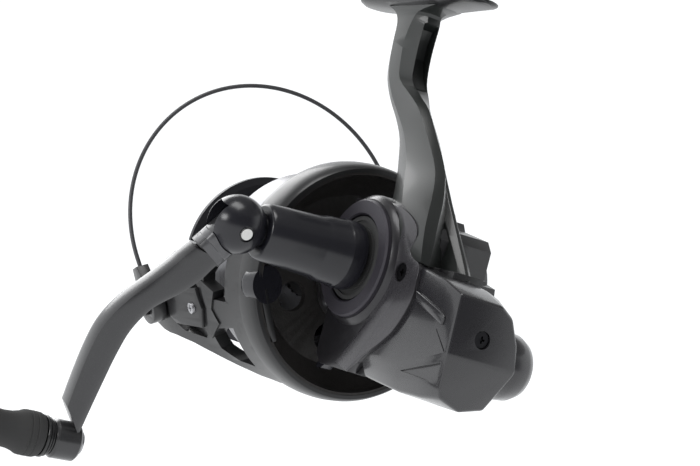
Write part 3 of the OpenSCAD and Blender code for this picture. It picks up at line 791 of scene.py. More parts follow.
NODE_FINISH = {
    "cover_screws": BLACK_SCREW, "rear_cover_screw": BLACK_SCREW,
    "bearing_ring": PLATE, "crank_seal": SEAL, "left_drive_bearing": STEEL_Y,
    "right_drive_bearing": STEEL_Y, "pinion_bush": BRASS, "pinion_bearing": STEEL,
    "clutch_housing": ALLOY, "clutch_rollers": STEEL, "clutch_screws": SCREW,
    "slider_rods": STEEL, "osc_axle": STEEL_Y, "drive_gear": ALLOY, "crank_shaft": STEEL_Y,
    "fold_pin": WHITE, "knob_spindle": STEEL_Y, "knob_bushes": TRIM,
    "pinion_gear": BRASS, "clutch_sleeve": STEEL, "rotor_nut": BRASS,
    "arm_cover_screws": SCREW, "bail_spring": STEEL, "bail_pivot_screws": BLACK_SCREW,
    "bail_wire": WIRE, "roller_screw": SCREW, "line_roller": ROLLER,
    "main_shaft": STEEL, "cross_slider": TRIM, "slider_screws": SCREW, "click_gear": TRIM,
    "spool_washers": WHITE, "spool_skirt": SPOOL, "spool": SPOOL, "spool_lip": LIP, "drag_washers": FELT,
    "washer_clip": STEEL, "line_clip": TRIM, "drag_nut": BRASS, "drag_spring": STEEL,
    "osc_gear": BRASS_Y,
}  # fmt: skip


# ---------------------------------------------------------------- sub-assemblies


def place(piece: bpy.types.Object, where: Matrix, finish: Finish, angle: float = 32) -> None:
    """Moves a finished mesh into the frame and dresses it.

    Args:
        piece: the object, at the origin.
        where: from its millimetres to the frame's metres.
        finish: its main finish.
        angle: edges sharper than this stay sharp in the shading.
    """
    piece.data.transform(where)
    Bench.smooth(piece, angle)
    piece.data.materials.clear()
    piece.data.materials.append(finish.make())


def settle(
    piece: bpy.types.Object, body: str, nodes: Iterable[str] = ()
) -> bpy.types.Object:
    """Puts a placed piece on its body.

    Args:
        piece: the piece.
        body: the CAD body that carries it.
        nodes: CAD nodes that it stands for.

    Returns:
        The piece.
    """
    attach(piece, body)
    if nodes:
        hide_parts(*nodes)
    log.info("%s: %d faces", piece.name, len(piece.data.polygons))
    return piece


@dataclass
class Rebuilt:
    """A CAD node whose copy only needs its edges rounded."""

    node: str
    body: str
    slot: str
    finish: Finish
    width: float = 0.35
    segments: int = 2
    angle: float = 24
    trim: Sequence[Point2] = ()

    def build(self, reel: Reel) -> None:
        """Copies the node, cuts off what another piece shows, rounds its edges and dresses it.

        Args:
            reel: the reel's coordinate systems.
        """
        piece = Bench.copied(self.node, f"{self.node}_rounded")
        if self.trim:
            cutter = Bench.plate("trim", self.trim, -80, 80)
            cutter.data.transform(Matrix.Scale(1 / MM, 4) @ reel.shaft)
            Bench.combine(piece, cutter)
        Bench.bevel(piece, self.width, self.segments, self.angle)
        place(piece, Matrix.Scale(MM, 4), self.finish)
        settle(piece, self.body, [self.node])


@dataclass
class CrankHandle:
    """Locking collar, folding ball, gooseneck arm and knob."""

    ball_y: float = 59.7
    ball_r: float = 9.2
    length: float = 80.4
    half: float = 4.3
    flutes: int = 8
    inner: list[Point2] = field(
        default_factory=lambda: [
            (65.3, -19.2), (69.9, -24.8), (76.8, -31.6), (80.8, -39.8), (82.3, -48.6),
            (83, -57.3), (83.7, -67.8), (84.2, -77),
        ]
    )  # fmt: skip
    outer: list[Point2] = field(
        default_factory=lambda: [
            (75.8, -16.2), (80.1, -22.6), (85.3, -29.8), (88.8, -36.1), (90.8, -42.2),
            (91.6, -50.2), (91.7, -59.3), (91.5, -68), (91.4, -77),
        ]
    )  # fmt: skip

    def collar(self, reel: Reel) -> None:
        """Turned collar with pointed flutes and a chamfered end band.

        Args:
            reel: the reel's coordinate systems.
        """
        profile = [
            (17.9, 4.2), (17.9, 10.5), (18.3, 11.0), (19.6, 11.1), (23.4, 11.1), (24.2, 10.7),
            (29.6, 10.55), (31.2, 10.0), (32.6, 9.85), (42, 9.4), (50.4, 8.95), (51.4, 8.5),
            (51.8, 7.9), (51.8, 4.2),
        ]  # fmt: skip
        piece = Bench.lathe("lock_collar_fluted", profile, Axis.Y, 128)
        for k in range(self.flutes):
            cutter = Bench.lathe(
                "flute", [(0, 0), (6, 2.6), (22, 3.4), (30, 3.4), (30, 0)], Axis.Y, 24
            )
            cutter.data.transform(
                Matrix.Rotation(TURN * k / self.flutes + 0.2, 4, "Y")
                @ Matrix.Translation((12.75, 24.2, 0))
                @ Matrix.Rotation(math.radians(-2), 4, "Z")
            )
            Bench.combine(piece, cutter)
        Bench.bevel(piece, 0.22, 2, 26)
        place(piece, reel.crank, GLOSS, 30)
        settle(piece, "collar", ["lock_collar"])

    def ball(self, reel: Reel) -> None:
        """Slotted ball on its stub, with a shallow hole in each side.

        Args:
            reel: the reel's coordinate systems.
        """
        r = self.ball_r
        profile = [(self.ball_y - r, 0)]
        profile += [
            (self.ball_y - r * math.cos(math.pi * k / 40), r * math.sin(math.pi * k / 40))
            for k in range(1, 40)
        ]
        profile += [(self.ball_y + r, 0)]
        piece = Bench.lathe("fold_ball", profile, Axis.Y, 96)
        stub = Bench.rod("stub", (0, 44, 0), 5, 10, Axis.Y)
        Bench.combine(piece, stub, Join.ADD)
        slot = Bench.plate(
            "slot", [(-3.15, -13), (3.15, -13), (3.15, 5.75), (-3.15, 5.75)],
            self.ball_y - 6.9, self.ball_y + 12,
        )  # fmt: skip
        Bench.combine(piece, slot)
        for side in (-1, 1):
            hole = Bench.rod("hole", (side * r - 1.1, self.ball_y, 0), 2.5, 2.2, Axis.X, 40)
            Bench.combine(piece, hole)
        Bench.bevel(piece, 0.3, 3, 40)
        place(piece, reel.crank, GLOSS, 30)
        settle(piece, "crank", ["ball_knuckle"])

    def arm(self, reel: Reel) -> None:
        """Gooseneck arm with a soft-edged section and the end boss.

        Args:
            reel: the reel's coordinate systems.
        """
        rings = []
        section = [
            (-1, -0.42), (-0.78, -0.92), (-0.4, -1), (0.4, -1), (0.78, -0.92), (1, -0.42),
            (1, 0.42), (0.78, 0.92), (0.4, 1), (-0.4, 1), (-0.78, 0.92), (-1, 0.42),
        ]  # fmt: skip
        low = [Vector((0, y, z)) for y, z in [(60.9, -11.2), (62.9, -14.7), *self.inner]]
        high = [Vector((0, y, z)) for y, z in [(71.6, -9.4), (73.9, -12.9), *self.outer]]
        steps = 5
        for k in range((len(low) - 1) * steps + 1):
            n, part = divmod(k, steps)
            t = part / steps
            a, b = self.curve(low, n, t), self.curve(high, n, t)
            middle, reach = (a + b) / 2, (b - a) / 2
            rings.append(
                [tuple(middle + reach * u + Vector((self.half * v, 0, 0))) for v, u in section]
            )
        piece = Bench.loft("crank_arm_gooseneck", rings)
        boss = Bench.lathe(
            "boss",
            [(82.8, 0), (82.8, 5.2), (83.6, 6), (90.6, 6.1), (91.5, 5.4), (91.5, 0)],
            Axis.Y,
            64,
        )
        boss.data.transform(Matrix.Translation((0, 0, -self.length)))
        Bench.combine(piece, boss, Join.ADD)
        Bench.bevel(piece, 0.5, 3, 38)
        place(piece, reel.crank, ARM, 40)
        settle(piece, "arm", ["crank_arm"])

    @staticmethod
    def curve(points: Sequence[Vector], n: int, t: float) -> Vector:
        """A point on a smooth curve through the points, between point n and the next.

        Args:
            points: the points.
            n: the point where the stretch starts.
            t: how far along the stretch, from 0 to 1.

        Returns:
            The point.
        """
        last = len(points) - 1
        a, b, c, d = (points[max(0, min(last, n + k))] for k in (-1, 0, 1, 2))
        if n >= last:
            return points[last]
        return (
            b * 2 + (c - a) * t + (a * 2 - b * 5 + c * 4 - d) * t**2
            + (b * 3 - a - c * 3 + d) * t**3
        ) / 2  # fmt: skip

    def neck(self, reel: Reel) -> None:
        """The satin root of the arm: tongue, cupped neck and its narrow joint ring.

        Args:
            reel: the reel's coordinate systems.
        """
        tongue = Bench.rod("neck_tongue", (-2.9, 0, 0), 5.4, 5.8, Axis.X, 64)
        link = Bench.plate(
            "link", [(-2.9, -13), (2.9, -13), (2.9, 0), (-2.9, 0)], -5.2, 5.2
        )  # fmt: skip
        link.data.transform(Matrix.Rotation(math.radians(30), 4, "X"))
        Bench.combine(tongue, link, Join.ADD)
        tongue.data.transform(Matrix.Translation((0, self.ball_y, 0)))
        Bench.bevel(tongue, 0.3, 2, 30)
        place(tongue, reel.crank, ARM)
        settle(tongue, "arm", ["crank_arm"])
        rings = []
        for along, wide, deep in (
            (7.2, 4.9, 5.6), (9.8, 4.75, 5.5), (10.0, 4.55, 5.35), (12.6, 4.5, 5.35),
        ):  # fmt: skip
            rings.append(self.oval(along, wide, deep))
        ring = Bench.loft("arm_neck_ring", rings)
        ball = Bench.lathe(
            "hollow",
            [(-self.ball_r - 0.25, 0)]
            + [
                (
                    -(self.ball_r + 0.25) * math.cos(math.pi * k / 32),
                    (self.ball_r + 0.25) * math.sin(math.pi * k / 32),
                )
                for k in range(1, 32)
            ]
            + [(self.ball_r + 0.25, 0)],
            Axis.Y,
            64,
        )
        ball.data.transform(Matrix.Translation((0, self.ball_y, 0)))
        Bench.combine(ring, ball)
        Bench.bevel(ring, 0.25, 2, 40)
        place(ring, reel.crank, SATIN)
        settle(ring, "arm", ["crank_arm"])

    def oval(self, along: float, wide: float, deep: float) -> list[Point3]:
        """A rounded section of the neck, square to the line from the ball down the arm.

        Args:
            along: how far down the arm the section lies.
            wide: half its width.
            deep: half its depth.

        Returns:
            The section's corners.
        """
        lean = math.radians(30)
        down = Vector((0, math.sin(lean), -math.cos(lean)))
        out = Vector((0, math.cos(lean), math.sin(lean)))
        centre = Vector((0, self.ball_y, 0)) + down * along
        ring = []
        for k in range(40):
            turn = TURN * k / 40
            c, s = math.cos(turn), math.sin(turn)
            power = 0.62
            x = math.copysign(abs(c) ** power, c) * wide
            o = math.copysign(abs(s) ** power, s) * deep
            ring.append(tuple(centre + out * o + Vector((x, 0, 0))))
        return ring

    def knob(self, reel: Reel) -> None:
        """Rubber knob with its rings and end cap.

        Args:
            reel: the reel's coordinate systems.
        """
        down = Matrix.Translation((0, 0, -self.length))
        grip = Bench.lathe(
            "knob_grip_turned",
            [
                (94.9, 3.45), (94.9, 6.0), (95.3, 6.5), (96.4, 6.9), (97.6, 7.0), (98, 6.8),
                (98.4, 7.0), (99.6, 7.0), (100, 6.8), (100.4, 7.0), (101.6, 6.85), (103, 6.2),
                (105, 5.7), (108, 5.5), (113, 6), (117, 6.8), (120, 7.4), (123, 8),
                (126, 8.25), (128.4, 8.28), (130, 8.15), (132, 7.5), (133.4, 6.7), (134.1, 5.9),
                (134.4, 5.2), (134.4, 3.45),
            ],
            Axis.Y,
            96,
        )  # fmt: skip
        place(grip, reel.crank @ down, GRIP, 25)
        settle(grip, "grip", ["knob_grip"])
        for k, (low, high, r) in enumerate(
            ((91.7, 92.5, 5.5), (92.7, 93.5, 6.1), (93.7, 94.6, 6.5))
        ):
            ring = Bench.lathe(
                f"knob_ring_{k}",
                [(low, 2.05), (low, r - 0.2), (low + 0.2, r), (high - 0.2, r), (high, r - 0.2), (high, 2.05)],
                Axis.Y,
                72,
            )
            place(ring, reel.crank @ down, TRIM, 25)
            settle(ring, "grip", ["knob_rings"])
        cap = Bench.lathe(
            "knob_cap",
            [
                (131, 0), (131, 3.4), (134.5, 3.4), (134.5, 5.2), (135, 5.1), (135.5, 4.6),
                (135.85, 3.6), (135.85, 2.6), (135.5, 2.2), (135.5, 0),
            ],
            Axis.Y,
            72,
        )  # fmt: skip
        place(cap, reel.crank @ down, ALLOY, 25)
        settle(cap, "grip", ["knob_end_cap"])

    def build(self, reel: Reel) -> None:
        """Builds the handle.

        Args:
            reel: the reel's coordinate systems.
        """
        self.collar(reel)
        self.ball(reel)
        self.neck(reel)
        self.arm(reel)
        self.knob(reel)


@dataclass
class RearCover:
    """Faceted cover of the oscillation gearing, its bar, recess and side bulge."""

    body: str = "root"

    def shell(self, reel: Reel) -> None:
        """Lofts the facets from the case to the back.

        Args:
            reel: the reel's coordinate systems.
        """
        front = [
            (-13, 12.6, -8), (-13, 12.9, -21), (-13, 11.7, -24.4), (-13, 9.8, -27.8),
            (-13, 0, -28.4), (-13, -9, -27.6), (-13, -13, -21.8), (-13, -13.2, -14),
            (-13, -9, -8), (-13, 0, -8),
        ]  # fmt: skip
        waist = [
            (-32.5, 12.7, 9.7), (-33.5, 12.9, -20.8), (-33.8, 11.7, -24.6), (-34, 9.9, -29.1),
            (-34, 0, -29.9), (-34, -9, -29), (-33.5, -13, -20.5), (-33, -13.2, -10),
            (-32.5, -9.4, 8.2), (-32.5, -3, 9.5),
        ]  # fmt: skip
        middle = [
            (-48, 12.7, 7.2), (-47, 12.95, -18), (-46, 12.2, -23.5), (-46, 9.7, -28.6),
            (-46, 0.6, -30), (-46, -8.4, -28.3), (-47, -13.4, -17.6), (-47.5, -13.2, -8.4),
            (-48, -8.4, 5.2), (-48, -3, 7),
        ]  # fmt: skip
        back = [
            (-57.9, 12.3, 4.0), (-59.5, 12.9, -14.2), (-57.4, 10.8, -25.2), (-56.2, 9.4, -27.3),
            (-55.4, 1.2, -30), (-55.2, -7.4, -27.8), (-59.4, -12.4, -14.8),
            (-59.1, -10.8, -6.8), (-58.6, -7.4, 0.4), (-58.2, -3.2, 3.4),
        ]  # fmt: skip
        piece = Bench.loft(
            "rear_cover_faceted", [front, waist, middle, back],
            ends=[[0, 1, 6, 7, 8, 9], [1, 2, 3, 4, 5, 6]],
        )  # fmt: skip
        Bench.bevel(piece, 0.9, 3, 11)
        recess = Bench.plate("recess", [(-36, -22.6), (-56.6, -16.9), (-54.6, -23.2)], 11.7, 15)
        Bench.combine(piece, recess)
        Bench.combine(piece, Bench.rod("well", (-64, 2, -7.6), 2.75, 6.75, Axis.X))
        Bench.combine(piece, Bench.rod("dish", (-64, 2, -7.6), 4.3, 4.2, Axis.X, 64))
        groove = Bench.plate(
            "line",
            [(-50.3, -7.6), (-54.2, -10.8), (-57.4, -13.4), (-57.1, -13.7), (-54, -11.2), (-50.1, -8)],
            12.55, 15,
        )  # fmt: skip
        Bench.combine(piece, groove)
        place(piece, reel.shaft, REAR, 26)
        settle(piece, self.body, ["rear_cover"])

    def bar(self, reel: Reel) -> None:
        """The raised bar on the left face.

        Args:
            reel: the reel's coordinate systems.
        """
        piece = Bench.plate(
            "rear_cover_bar",
            [(-34.6, 2.3), (-51.2, -2.3), (-53.6, -3.7), (-53.1, -6.3), (-36.4, -1.3)],
            12.4, 13.55,
        )  # fmt: skip
        Bench.bevel(piece, 0.6, 3, 40)
        place(piece, reel.shaft, REAR)
        settle(piece, self.body, ["rear_cover"])

    def bulge(self, reel: Reel) -> None:
        """The rounded blister on the right side.

        Args:
            reel: the reel's coordinate systems.
        """
        rings = []
        for y, r, shift in (
            (-9, 8.8, 0), (-14, 9.4, 0), (-18.4, 9.1, 0.2), (-20.8, 8.1, 0.3), (-22.2, 6.4, 0.4),
            (-22.8, 3.6, 0.5), (-23, 0.8, 0.5),
        ):  # fmt: skip
            rings.append(
                [
                    (
                        -46 + shift + 1.25 * r * math.cos(TURN * k / 48),
                        y,
                        -13.6 + 1.14 * r * math.sin(TURN * k / 48),
                    )
                    for k in range(48)
                ]
            )
        piece = Bench.loft("rear_cover_blister", rings)
        place(piece, reel.shaft, REAR, 60)
        settle(piece, self.body, ["rear_cover"])

    def build(self, reel: Reel) -> None:
        """Builds the cover.

        Args:
            reel: the reel's coordinate systems.
        """
        self.shell(reel)
        self.bar(reel)
        self.bulge(reel)


@dataclass
class SideCover:
    """Crank-side cover: flat plate, boss of the crank and the raised band behind it."""

    line: list[Point2] = field(
        default_factory=lambda: [
            (14, 27), (-15, 27), (-20.5, 24.6), (-25.2, 22.6), (-27.6, 21.4), (-28.7, 19.8),
            (-28.3, 17), (-27, 14), (-27.6, 12.6), (-29.6, 11.3), (-34, 9.9), (-34.8, 7),
            (-35, 2.5), (-34.3, -2), (-32.6, -6), (-29, -11.6), (-25.4, -14.8), (-21, -18),
            (-16, -21.6), (-12.4, -24), (-8.4, -27.8), (10, -28), (14, -25),
        ]
    )  # fmt: skip
    hole: Point2 = (-25, 6.3)

    def plate(self, reel: Reel) -> None:
        """The cover's plate and the ring around the crank.

        Args:
            reel: the reel's coordinate systems.
        """
        piece = Bench.plate("side_cover_plate", self.line, 10.05, 13.3)
        Bench.bevel(piece, 0.3, 2, 50)
        boss = Bench.lathe(
            "boss",
            [
                (9.9, 8), (9.9, 21.4), (13.2, 21.4), (14.2, 20.9), (15.1, 20.1), (15.5, 19.6),
                (15.5, 18.9), (14.9, 18.4), (14.9, 8),
            ],
            Axis.Y,
            128,
        )  # fmt: skip
        boss.data.transform(Matrix.Translation((0, 0, 7.5)))
        Bench.combine(piece, boss, Join.ADD)
        well = Bench.rod("well", (self.hole[0], 10.8, self.hole[1]), 3.1, 6, Axis.Y)
        Bench.combine(piece, well)
        bore = Bench.rod("bore", (0, 8, 7.5), 8.05, 10, Axis.Y, 64)
        Bench.combine(piece, bore)
        place(piece, reel.shaft, COVER, 28)
        settle(piece, "root", ["side_cover"])

    @staticmethod
    def rounded(line: Sequence[Point2], steps: int = 4) -> list[Point2]:
        """A smooth line through the given points.

        Args:
            line: the points.
            steps: how many points each stretch gets.

        Returns:
            The smooth line's points.
        """
        points = [Vector((x, 0, z)) for x, z in line]
        smooth = [
            CrankHandle.curve(points, n, k / steps) for n in range(len(points) - 1) for k in range(steps)
        ]
        return [(p.x, p.z) for p in (*smooth, points[-1])]

    def band(self, reel: Reel) -> None:
        """The raised band, bevelled along its outer edge.

        Args:
            reel: the reel's coordinate systems.
        """
        inner = [
            (-12.5, 25.6), (-19, 21.2), (-19.2, 14), (-19.6, 7.8), (-18.3, -0.6), (-13.6, -9.4),
            (-8.2, -16.6), (-2.2, -24), (-0.5, -26),
        ]  # fmt: skip
        outer = [
            (-8.2, -27.7), (-14.3, -22.5), (-19.6, -18.9), (-24.9, -15.1), (-29, -11.5),
            (-32.8, -5.6), (-34.6, -0.6), (-34.8, 4.6), (-34, 9.5), (-30, 11.1), (-27.1, 13.4),
            (-28.5, 18.4), (-25, 22.5), (-19.4, 25), (-13.8, 26.5),
        ]  # fmt: skip
        line = self.rounded(inner) + self.rounded(outer)
        piece = Bench.plate("side_cover_band", line, 12.2, 13.95)
        Bench.bevel(piece, 0.6, 3, 50)
        well = Bench.rod("well", (self.hole[0], 10.8, self.hole[1]), 3.1, 6, Axis.Y)
        Bench.combine(piece, well)
        place(piece, reel.shaft, BAND, 30)
        settle(piece, "root", ["side_cover"])

    def build(self, reel: Reel) -> None:
        """Builds the cover.

        Args:
            reel: the reel's coordinate systems.
        """
        self.plate(reel)
        self.band(reel)


@dataclass
class Stem:
    """Stem that flares from the foot down to the case, and the web behind it."""

    foot_l: float = 75
    foot_w: float = 15
    slant: float = 1.6
    rear_line: list[Point2] = field(
        default_factory=lambda: [
            (8, -41), (21, -30.4), (31.3, -21.2), (39.9, -14), (45.2, -10.8), (51.6, -4.7),
            (61.4, 5.5), (69.9, 10.8), (78.6, 12.4), (93, 12.7), (95.2, 1),
        ]
    )  # fmt: skip

    def rear_at(self, z: float) -> float:
        """How far back the far side of the stem reaches.

        Args:
            z: the height above the spool shaft.

        Returns:
            The place along the shaft.
        """
        for (low, first), (high, second) in zip(self.rear_line, self.rear_line[1:]):
            if z <= high:
                return first + (second - first) * (z - low) / (high - low)
        return self.rear_line[-1][1]

    def column(self, reel: Reel) -> None:
        """Lofts the stem through its stations.

        Args:
            reel: the reel's coordinate systems.
        """
        # each station: front edge, groove, rear edge of the left face, rear corner
        stations = [
            ((40.5, 2.4, 95), (40, 5.3, 95.2), (10, 5.3, 95.2), (9, 2.4, 95)),
            ((36, 3, 93), (34.5, 5.3, 93), (19.5, 5.3, 93), (16.8, 2.5, 93)),
            ((33.7, 3.6, 89.5), (31.6, 5.3, 89.3), (22.4, 5.3, 89.2), (16.6, 2.5, 89)),
            ((33.4, 3.8, 83), (31, 5.3, 82.8), (23.9, 5.3, 82.7), (16.6, 2.5, 82.5)),
            ((32.8, 3.8, 76.5), (29.8, 5.4, 76), (22.7, 5.4, 75.8), (16.3, 2.5, 75.6)),
            ((30.6, 4, 69.8), (27, 5.5, 69.6), (20, 5.5, 69.5), (15, 2.5, 69.6)),
            ((25.4, 4, 63), (21.8, 5.5, 63.4), (10.2, 5.5, 63.9), (8.8, 2.6, 64.6)),
            ((18, 4, 56), (14.4, 5.6, 57), (2.6, 5.6, 59.2), (1.2, 2.8, 60)),
            ((12.4, 4.2, 49.6), (7, 6.1, 50.6), (-8, 5.8, 49.6), (-9, 3, 50.2)),
            ((8.4, 4.8, 42), (-0.4, 7.4, 42.6), (-16.4, 6.6, 41.8), (-17.2, 3.4, 42.2)),
            ((4.2, 6.4, 36.6), (-5.4, 9.4, 36.6), (-21.2, 8, 36.4), (-22, 4.6, 36.6)),
            ((0, 8.4, 31), (-10.8, 11.8, 31), (-25.3, 10, 30.2), (-26, 6, 30)),
            ((-4, 10.6, 26.4), (-15.4, 13.5, 25.6), (-29.6, 12.6, 23.3), (-30.4, 8.6, 22.8)),
            ((-6, 11, 20), (-17, 13.75, 19), (-32.4, 13.7, 16.9), (-33.2, 10, 16.4)),
            ((-8, 11, 11), (-18, 13.75, 11), (-34.2, 13.75, 10.4), (-35, 11, 9.8)),
        ]  # fmt: skip
        rings = []
        for row in stations:
            front = row[0][0]
            ahead = [0.0, 1.2, 3.6, 5.0]
            far = [
                (min(front - gap, max(x, self.rear_at(z) + self.slant * y)), -y, z)
                for (x, y, z), gap in zip(row, ahead)
            ]
            rings.append([*row, *reversed(far)])
        curved = [
            [CrankHandle.curve([Vector(r[i]) for r in rings], n, t / 3) for i in range(8)]
            for n in range(len(rings) - 1)
            for t in range(3)
        ]
        curved.append([Vector(p) for p in rings[-1]])
        piece = Bench.loft("stem_column", [[tuple(p) for p in ring] for ring in curved])
        channel = Bench.plate(
            "channel",
            [(10, 66), (15.4, 67.6), (19.6, 72), (22.2, 78), (22.3, 84), (21.4, 88), (14, 91), (8, 88)],
            -3, 3,
        )  # fmt: skip
        Bench.combine(piece, channel)
        Bench.bevel(piece, 0.55, 3, 22)
        place(piece, reel.shaft, STEM, 26)
        settle(piece, "root", ["body_housing"])

    def web(self, reel: Reel) -> None:
        """The web behind the stem, folded to a thin edge.

        Args:
            reel: the reel's coordinate systems.
        """
        levels = [
            (46, 4, 5, -4, -8.2), (39.9, 4, 5, -9.6, -13.5), (31.3, 4, 5.4, -17.6, -21),
            (21, -6, 6, -28.3, -30.4), (12.6, -12, 7, -36.6, -38), (8.6, -12, 7, -39.6, -41.3),
            (4, -12, 7, -39.6, -41.3),
        ]  # fmt: skip
        rings = [
            [
                (root, wide, z), (fold, 2.4, z), (edge, 0.6, z),
                (edge, -0.6, z), (fold, -2.4, z), (root, -wide, z),
            ]
            for z, root, wide, fold, edge in levels
        ]  # fmt: skip
        piece = Bench.loft("stem_web", rings)
        Bench.bevel(piece, 0.25, 2, 9)
        place(piece, reel.shaft, STEM, 14)
        settle(piece, "root", ["body_housing"])

    def deck(self, reel: Reel) -> None:
        """The case's roof around the foot of the stem.

        Args:
            reel: the reel's coordinate systems.
        """
        piece = Bench.loft(
            "case_deck",
            [
                [(-33, wide, z), (-8, wide, z), (-8, -wide, z), (-33, -wide, z)]
                for wide, z in ((12.9, 7), (12.9, 9.4), (12, 10.3))
            ],
        )
        Bench.bevel(piece, 0.4, 2, 20)
        place(piece, reel.shaft, CASE, 30)
        settle(piece, "root", ["body_housing"])

    def foot(self, reel: Reel) -> None:
        """The thin foot, rounded at both ends and hollowed to the seat.

        Args:
            reel: the reel's coordinate systems.
        """
        rings = []
        half_l, half_w = self.foot_l / 2, self.foot_w / 2
        count = 26
        for k in range(count + 1):
            u = -1 + 2 * k / count
            x = half_l * math.sin(u * math.pi / 2)
            edge = max(0.0, half_l - abs(x))
            wide = half_w if edge >= half_w else math.sqrt(max(0.04, half_w**2 - (half_w - edge) ** 2))
            deep = 1.35 + 2.0 * (1 - abs(x / half_l) ** 1.6)
            rings.append(
                [
                    (x, wide, 0), (x, wide, -0.5), (x, wide * 0.92, -deep * 0.55),
                    (x, wide * 0.55, -deep), (x, -wide * 0.55, -deep),
                    (x, -wide * 0.92, -deep * 0.55), (x, -wide, -0.5), (x, -wide, 0),
                ]
            )  # fmt: skip
        piece = Bench.loft("foot_plate", rings)
        piece.data.transform(Matrix.Translation((25, 0, 97.8)))
        Bench.bevel(piece, 0.25, 2, 40)
        place(piece, reel.shaft, CASE, 35)
        settle(piece, "root", ["body_housing"])

    def build(self, reel: Reel) -> None:
        """Builds the stem, its web and the foot.

        Args:
            reel: the reel's coordinate systems.
        """
        self.column(reel)
        self.web(reel)
        self.deck(reel)
        self.foot(reel)


@dataclass
class Rotor:
    """Rotor with its ring, two arms and the bail trip at the foot of the near arm."""

    wall: list[Point2] = field(
        default_factory=lambda: [
            (26.4, 40.2), (36, 41), (43, 42), (50, 43.4), (57, 45), (64, 46.6), (70, 47.9),
            (76, 49), (89, 49),
        ]
    )  # fmt: skip
    thick: float = 4.4
    pivot_x: float = 76.7
    near: list[Point2] = field(
        default_factory=lambda: [
            (26.5, -27), (32, -27.5), (40, -25.4), (48, -21.6), (56, -17.6), (64, -14), (72, -11.8),
            (80, -10.5), (84, -8.4), (86.8, -5), (88, 0), (86.8, 5), (84, 8.4), (80, 10.5),
            (72, 11.8), (64, 14), (56, 17.6), (48, 21.6), (40, 25.4), (32, 27.5), (26.5, 27),
        ]
    )  # fmt: skip
    far: list[Point2] = field(
        default_factory=lambda: [
            (26.5, -27), (34, -26), (43, -21), (52, -16), (60, -10.8), (66, -8.6), (76.7, -8.4),
            (82, -6.6), (85.1, 0), (82, 6.6), (76.7, 8.4), (66, 8.6), (60, 10.8), (52, 16),
            (43, 21), (34, 26), (26.5, 27),
        ]
    )  # fmt: skip

    def ring(self, reel: Reel) -> None:
        """The rear ring and the web that joins it to the pinion.

        Args:
            reel: the reel's coordinate systems.
        """
        outside = Bench.lathe(
            "rotor_ring",
            [
                (20, 37.4), (20, 38.6), (20.4, 39), (23, 39.9), (27, 40.4), (30.4, 40.45),
                (33, 40.3), (34.6, 39.7), (36, 38.7), (36, 36.4), (30, 36.4), (24, 38), (21, 38),
            ],
            Axis.X,
            192,
        )  # fmt: skip
        place(outside, reel.rotor, ROTOR, 30)
        settle(outside, "rotor", ["rotor_frame"])
        inside = Bench.lathe(
            "rotor_inside",
            [
                (20.2, 36.5), (20.2, 37.6), (30, 37.8), (35.8, 37.4), (35.8, 36.2), (34, 35.4), (34, 7.5),
                (40, 7.5), (40, 4.05), (31.4, 4.05), (31.4, 29), (28, 31.4), (23, 35.6),
            ],
            Axis.X,
            192,
        )  # fmt: skip
        for k in range(6):
            hole = Bench.rod("hole", (28, 0, 20), 5, 9, Axis.X, 48)
            hole.data.transform(Matrix.Rotation(TURN * (k + 0.5) / 6, 4, "X"))
            Bench.combine(inside, hole)
        Bench.bevel(inside, 0.25, 2, 40)
        place(inside, reel.rotor, INSIDE, 30)
        settle(inside, "rotor", ["rotor_frame"])

    def arm(
        self,
        name: str,
        outline: Sequence[Point2],
        pockets: Sequence[tuple[float, list[Point2]]],
    ) -> bpy.types.Object:
        """One arm as a piece of the turned wall.

        Args:
            name: the object's name.
            outline: its outline seen along the bail's pivots, in x and across.
            pockets: how far out each pocket's floor is, and its outline.

        Returns:
            The arm, in millimetres.
        """
        inner = [(x, r - self.thick) for x, r in reversed(self.wall)]
        piece = Bench.lathe(name, [*self.wall, *inner], Axis.X, 256)
        Bench.combine(piece, Bench.plate("outline", outline, 20, 60), Join.KEEP)
        for floor, line in pockets:
            Bench.combine(piece, Bench.plate("pocket", line, floor, 60))
        Bench.combine(piece, Bench.rod("eye", (self.pivot_x, 40, 0), 2.05, 20, Axis.Y))
        Bench.bevel(piece, 0.45, 3, 30)
        return piece

    def arms(self, reel: Reel) -> None:
        """Both arms with their windows and pockets.

        Args:
            reel: the reel's coordinate systems.
        """
        window_up = [(38, 3), (47, 3.4), (50, 6), (50, 11), (45, 17), (38, 20)]
        window_down = [(37, -21), (44, -19.6), (50, -15), (50.4, -10), (46, -7), (37, -6)]
        tip = [
            (53.4, -9.6), (55, -11.4), (66, -9.4), (69.6, -6.6), (69.6, 5.4), (67.4, 7.4),
            (55, 9), (53, 7), (51.4, 0),
        ]  # fmt: skip
        through = 30
        tip_floor = 42.6
        tip_hole = [(62, -4), (68, -3.4), (68, 3.4), (62, 4)]
        near = self.arm(
            "rotor_near_arm",
            self.near,
            [(through, window_up), (through, window_down), (tip_floor, tip), (through, tip_hole)],
        )
        place(near, reel.rotor, ROTOR, 26)
        settle(near, "rotor", ["rotor_frame"])
        far = self.arm("rotor_far_arm", self.far, [(through, window_up), (through, window_down)])
        place(far, reel.far_side, ROTOR, 26)
        settle(far, "rotor", ["rotor_frame"])
        ridge = self.arm(
            "rotor_arm_ridge",
            [(44, -5), (51.4, -11), (50.6, -6), (49, 0), (50.4, 5.6), (51, 9.4), (44, 6), (46.4, 0)],
            [],
        )
        ridge.data.transform(Matrix.Diagonal((1, 1.012, 1.012, 1)))
        place(ridge, reel.rotor, ROTOR, 26)
        settle(ridge, "rotor", ["rotor_frame"])

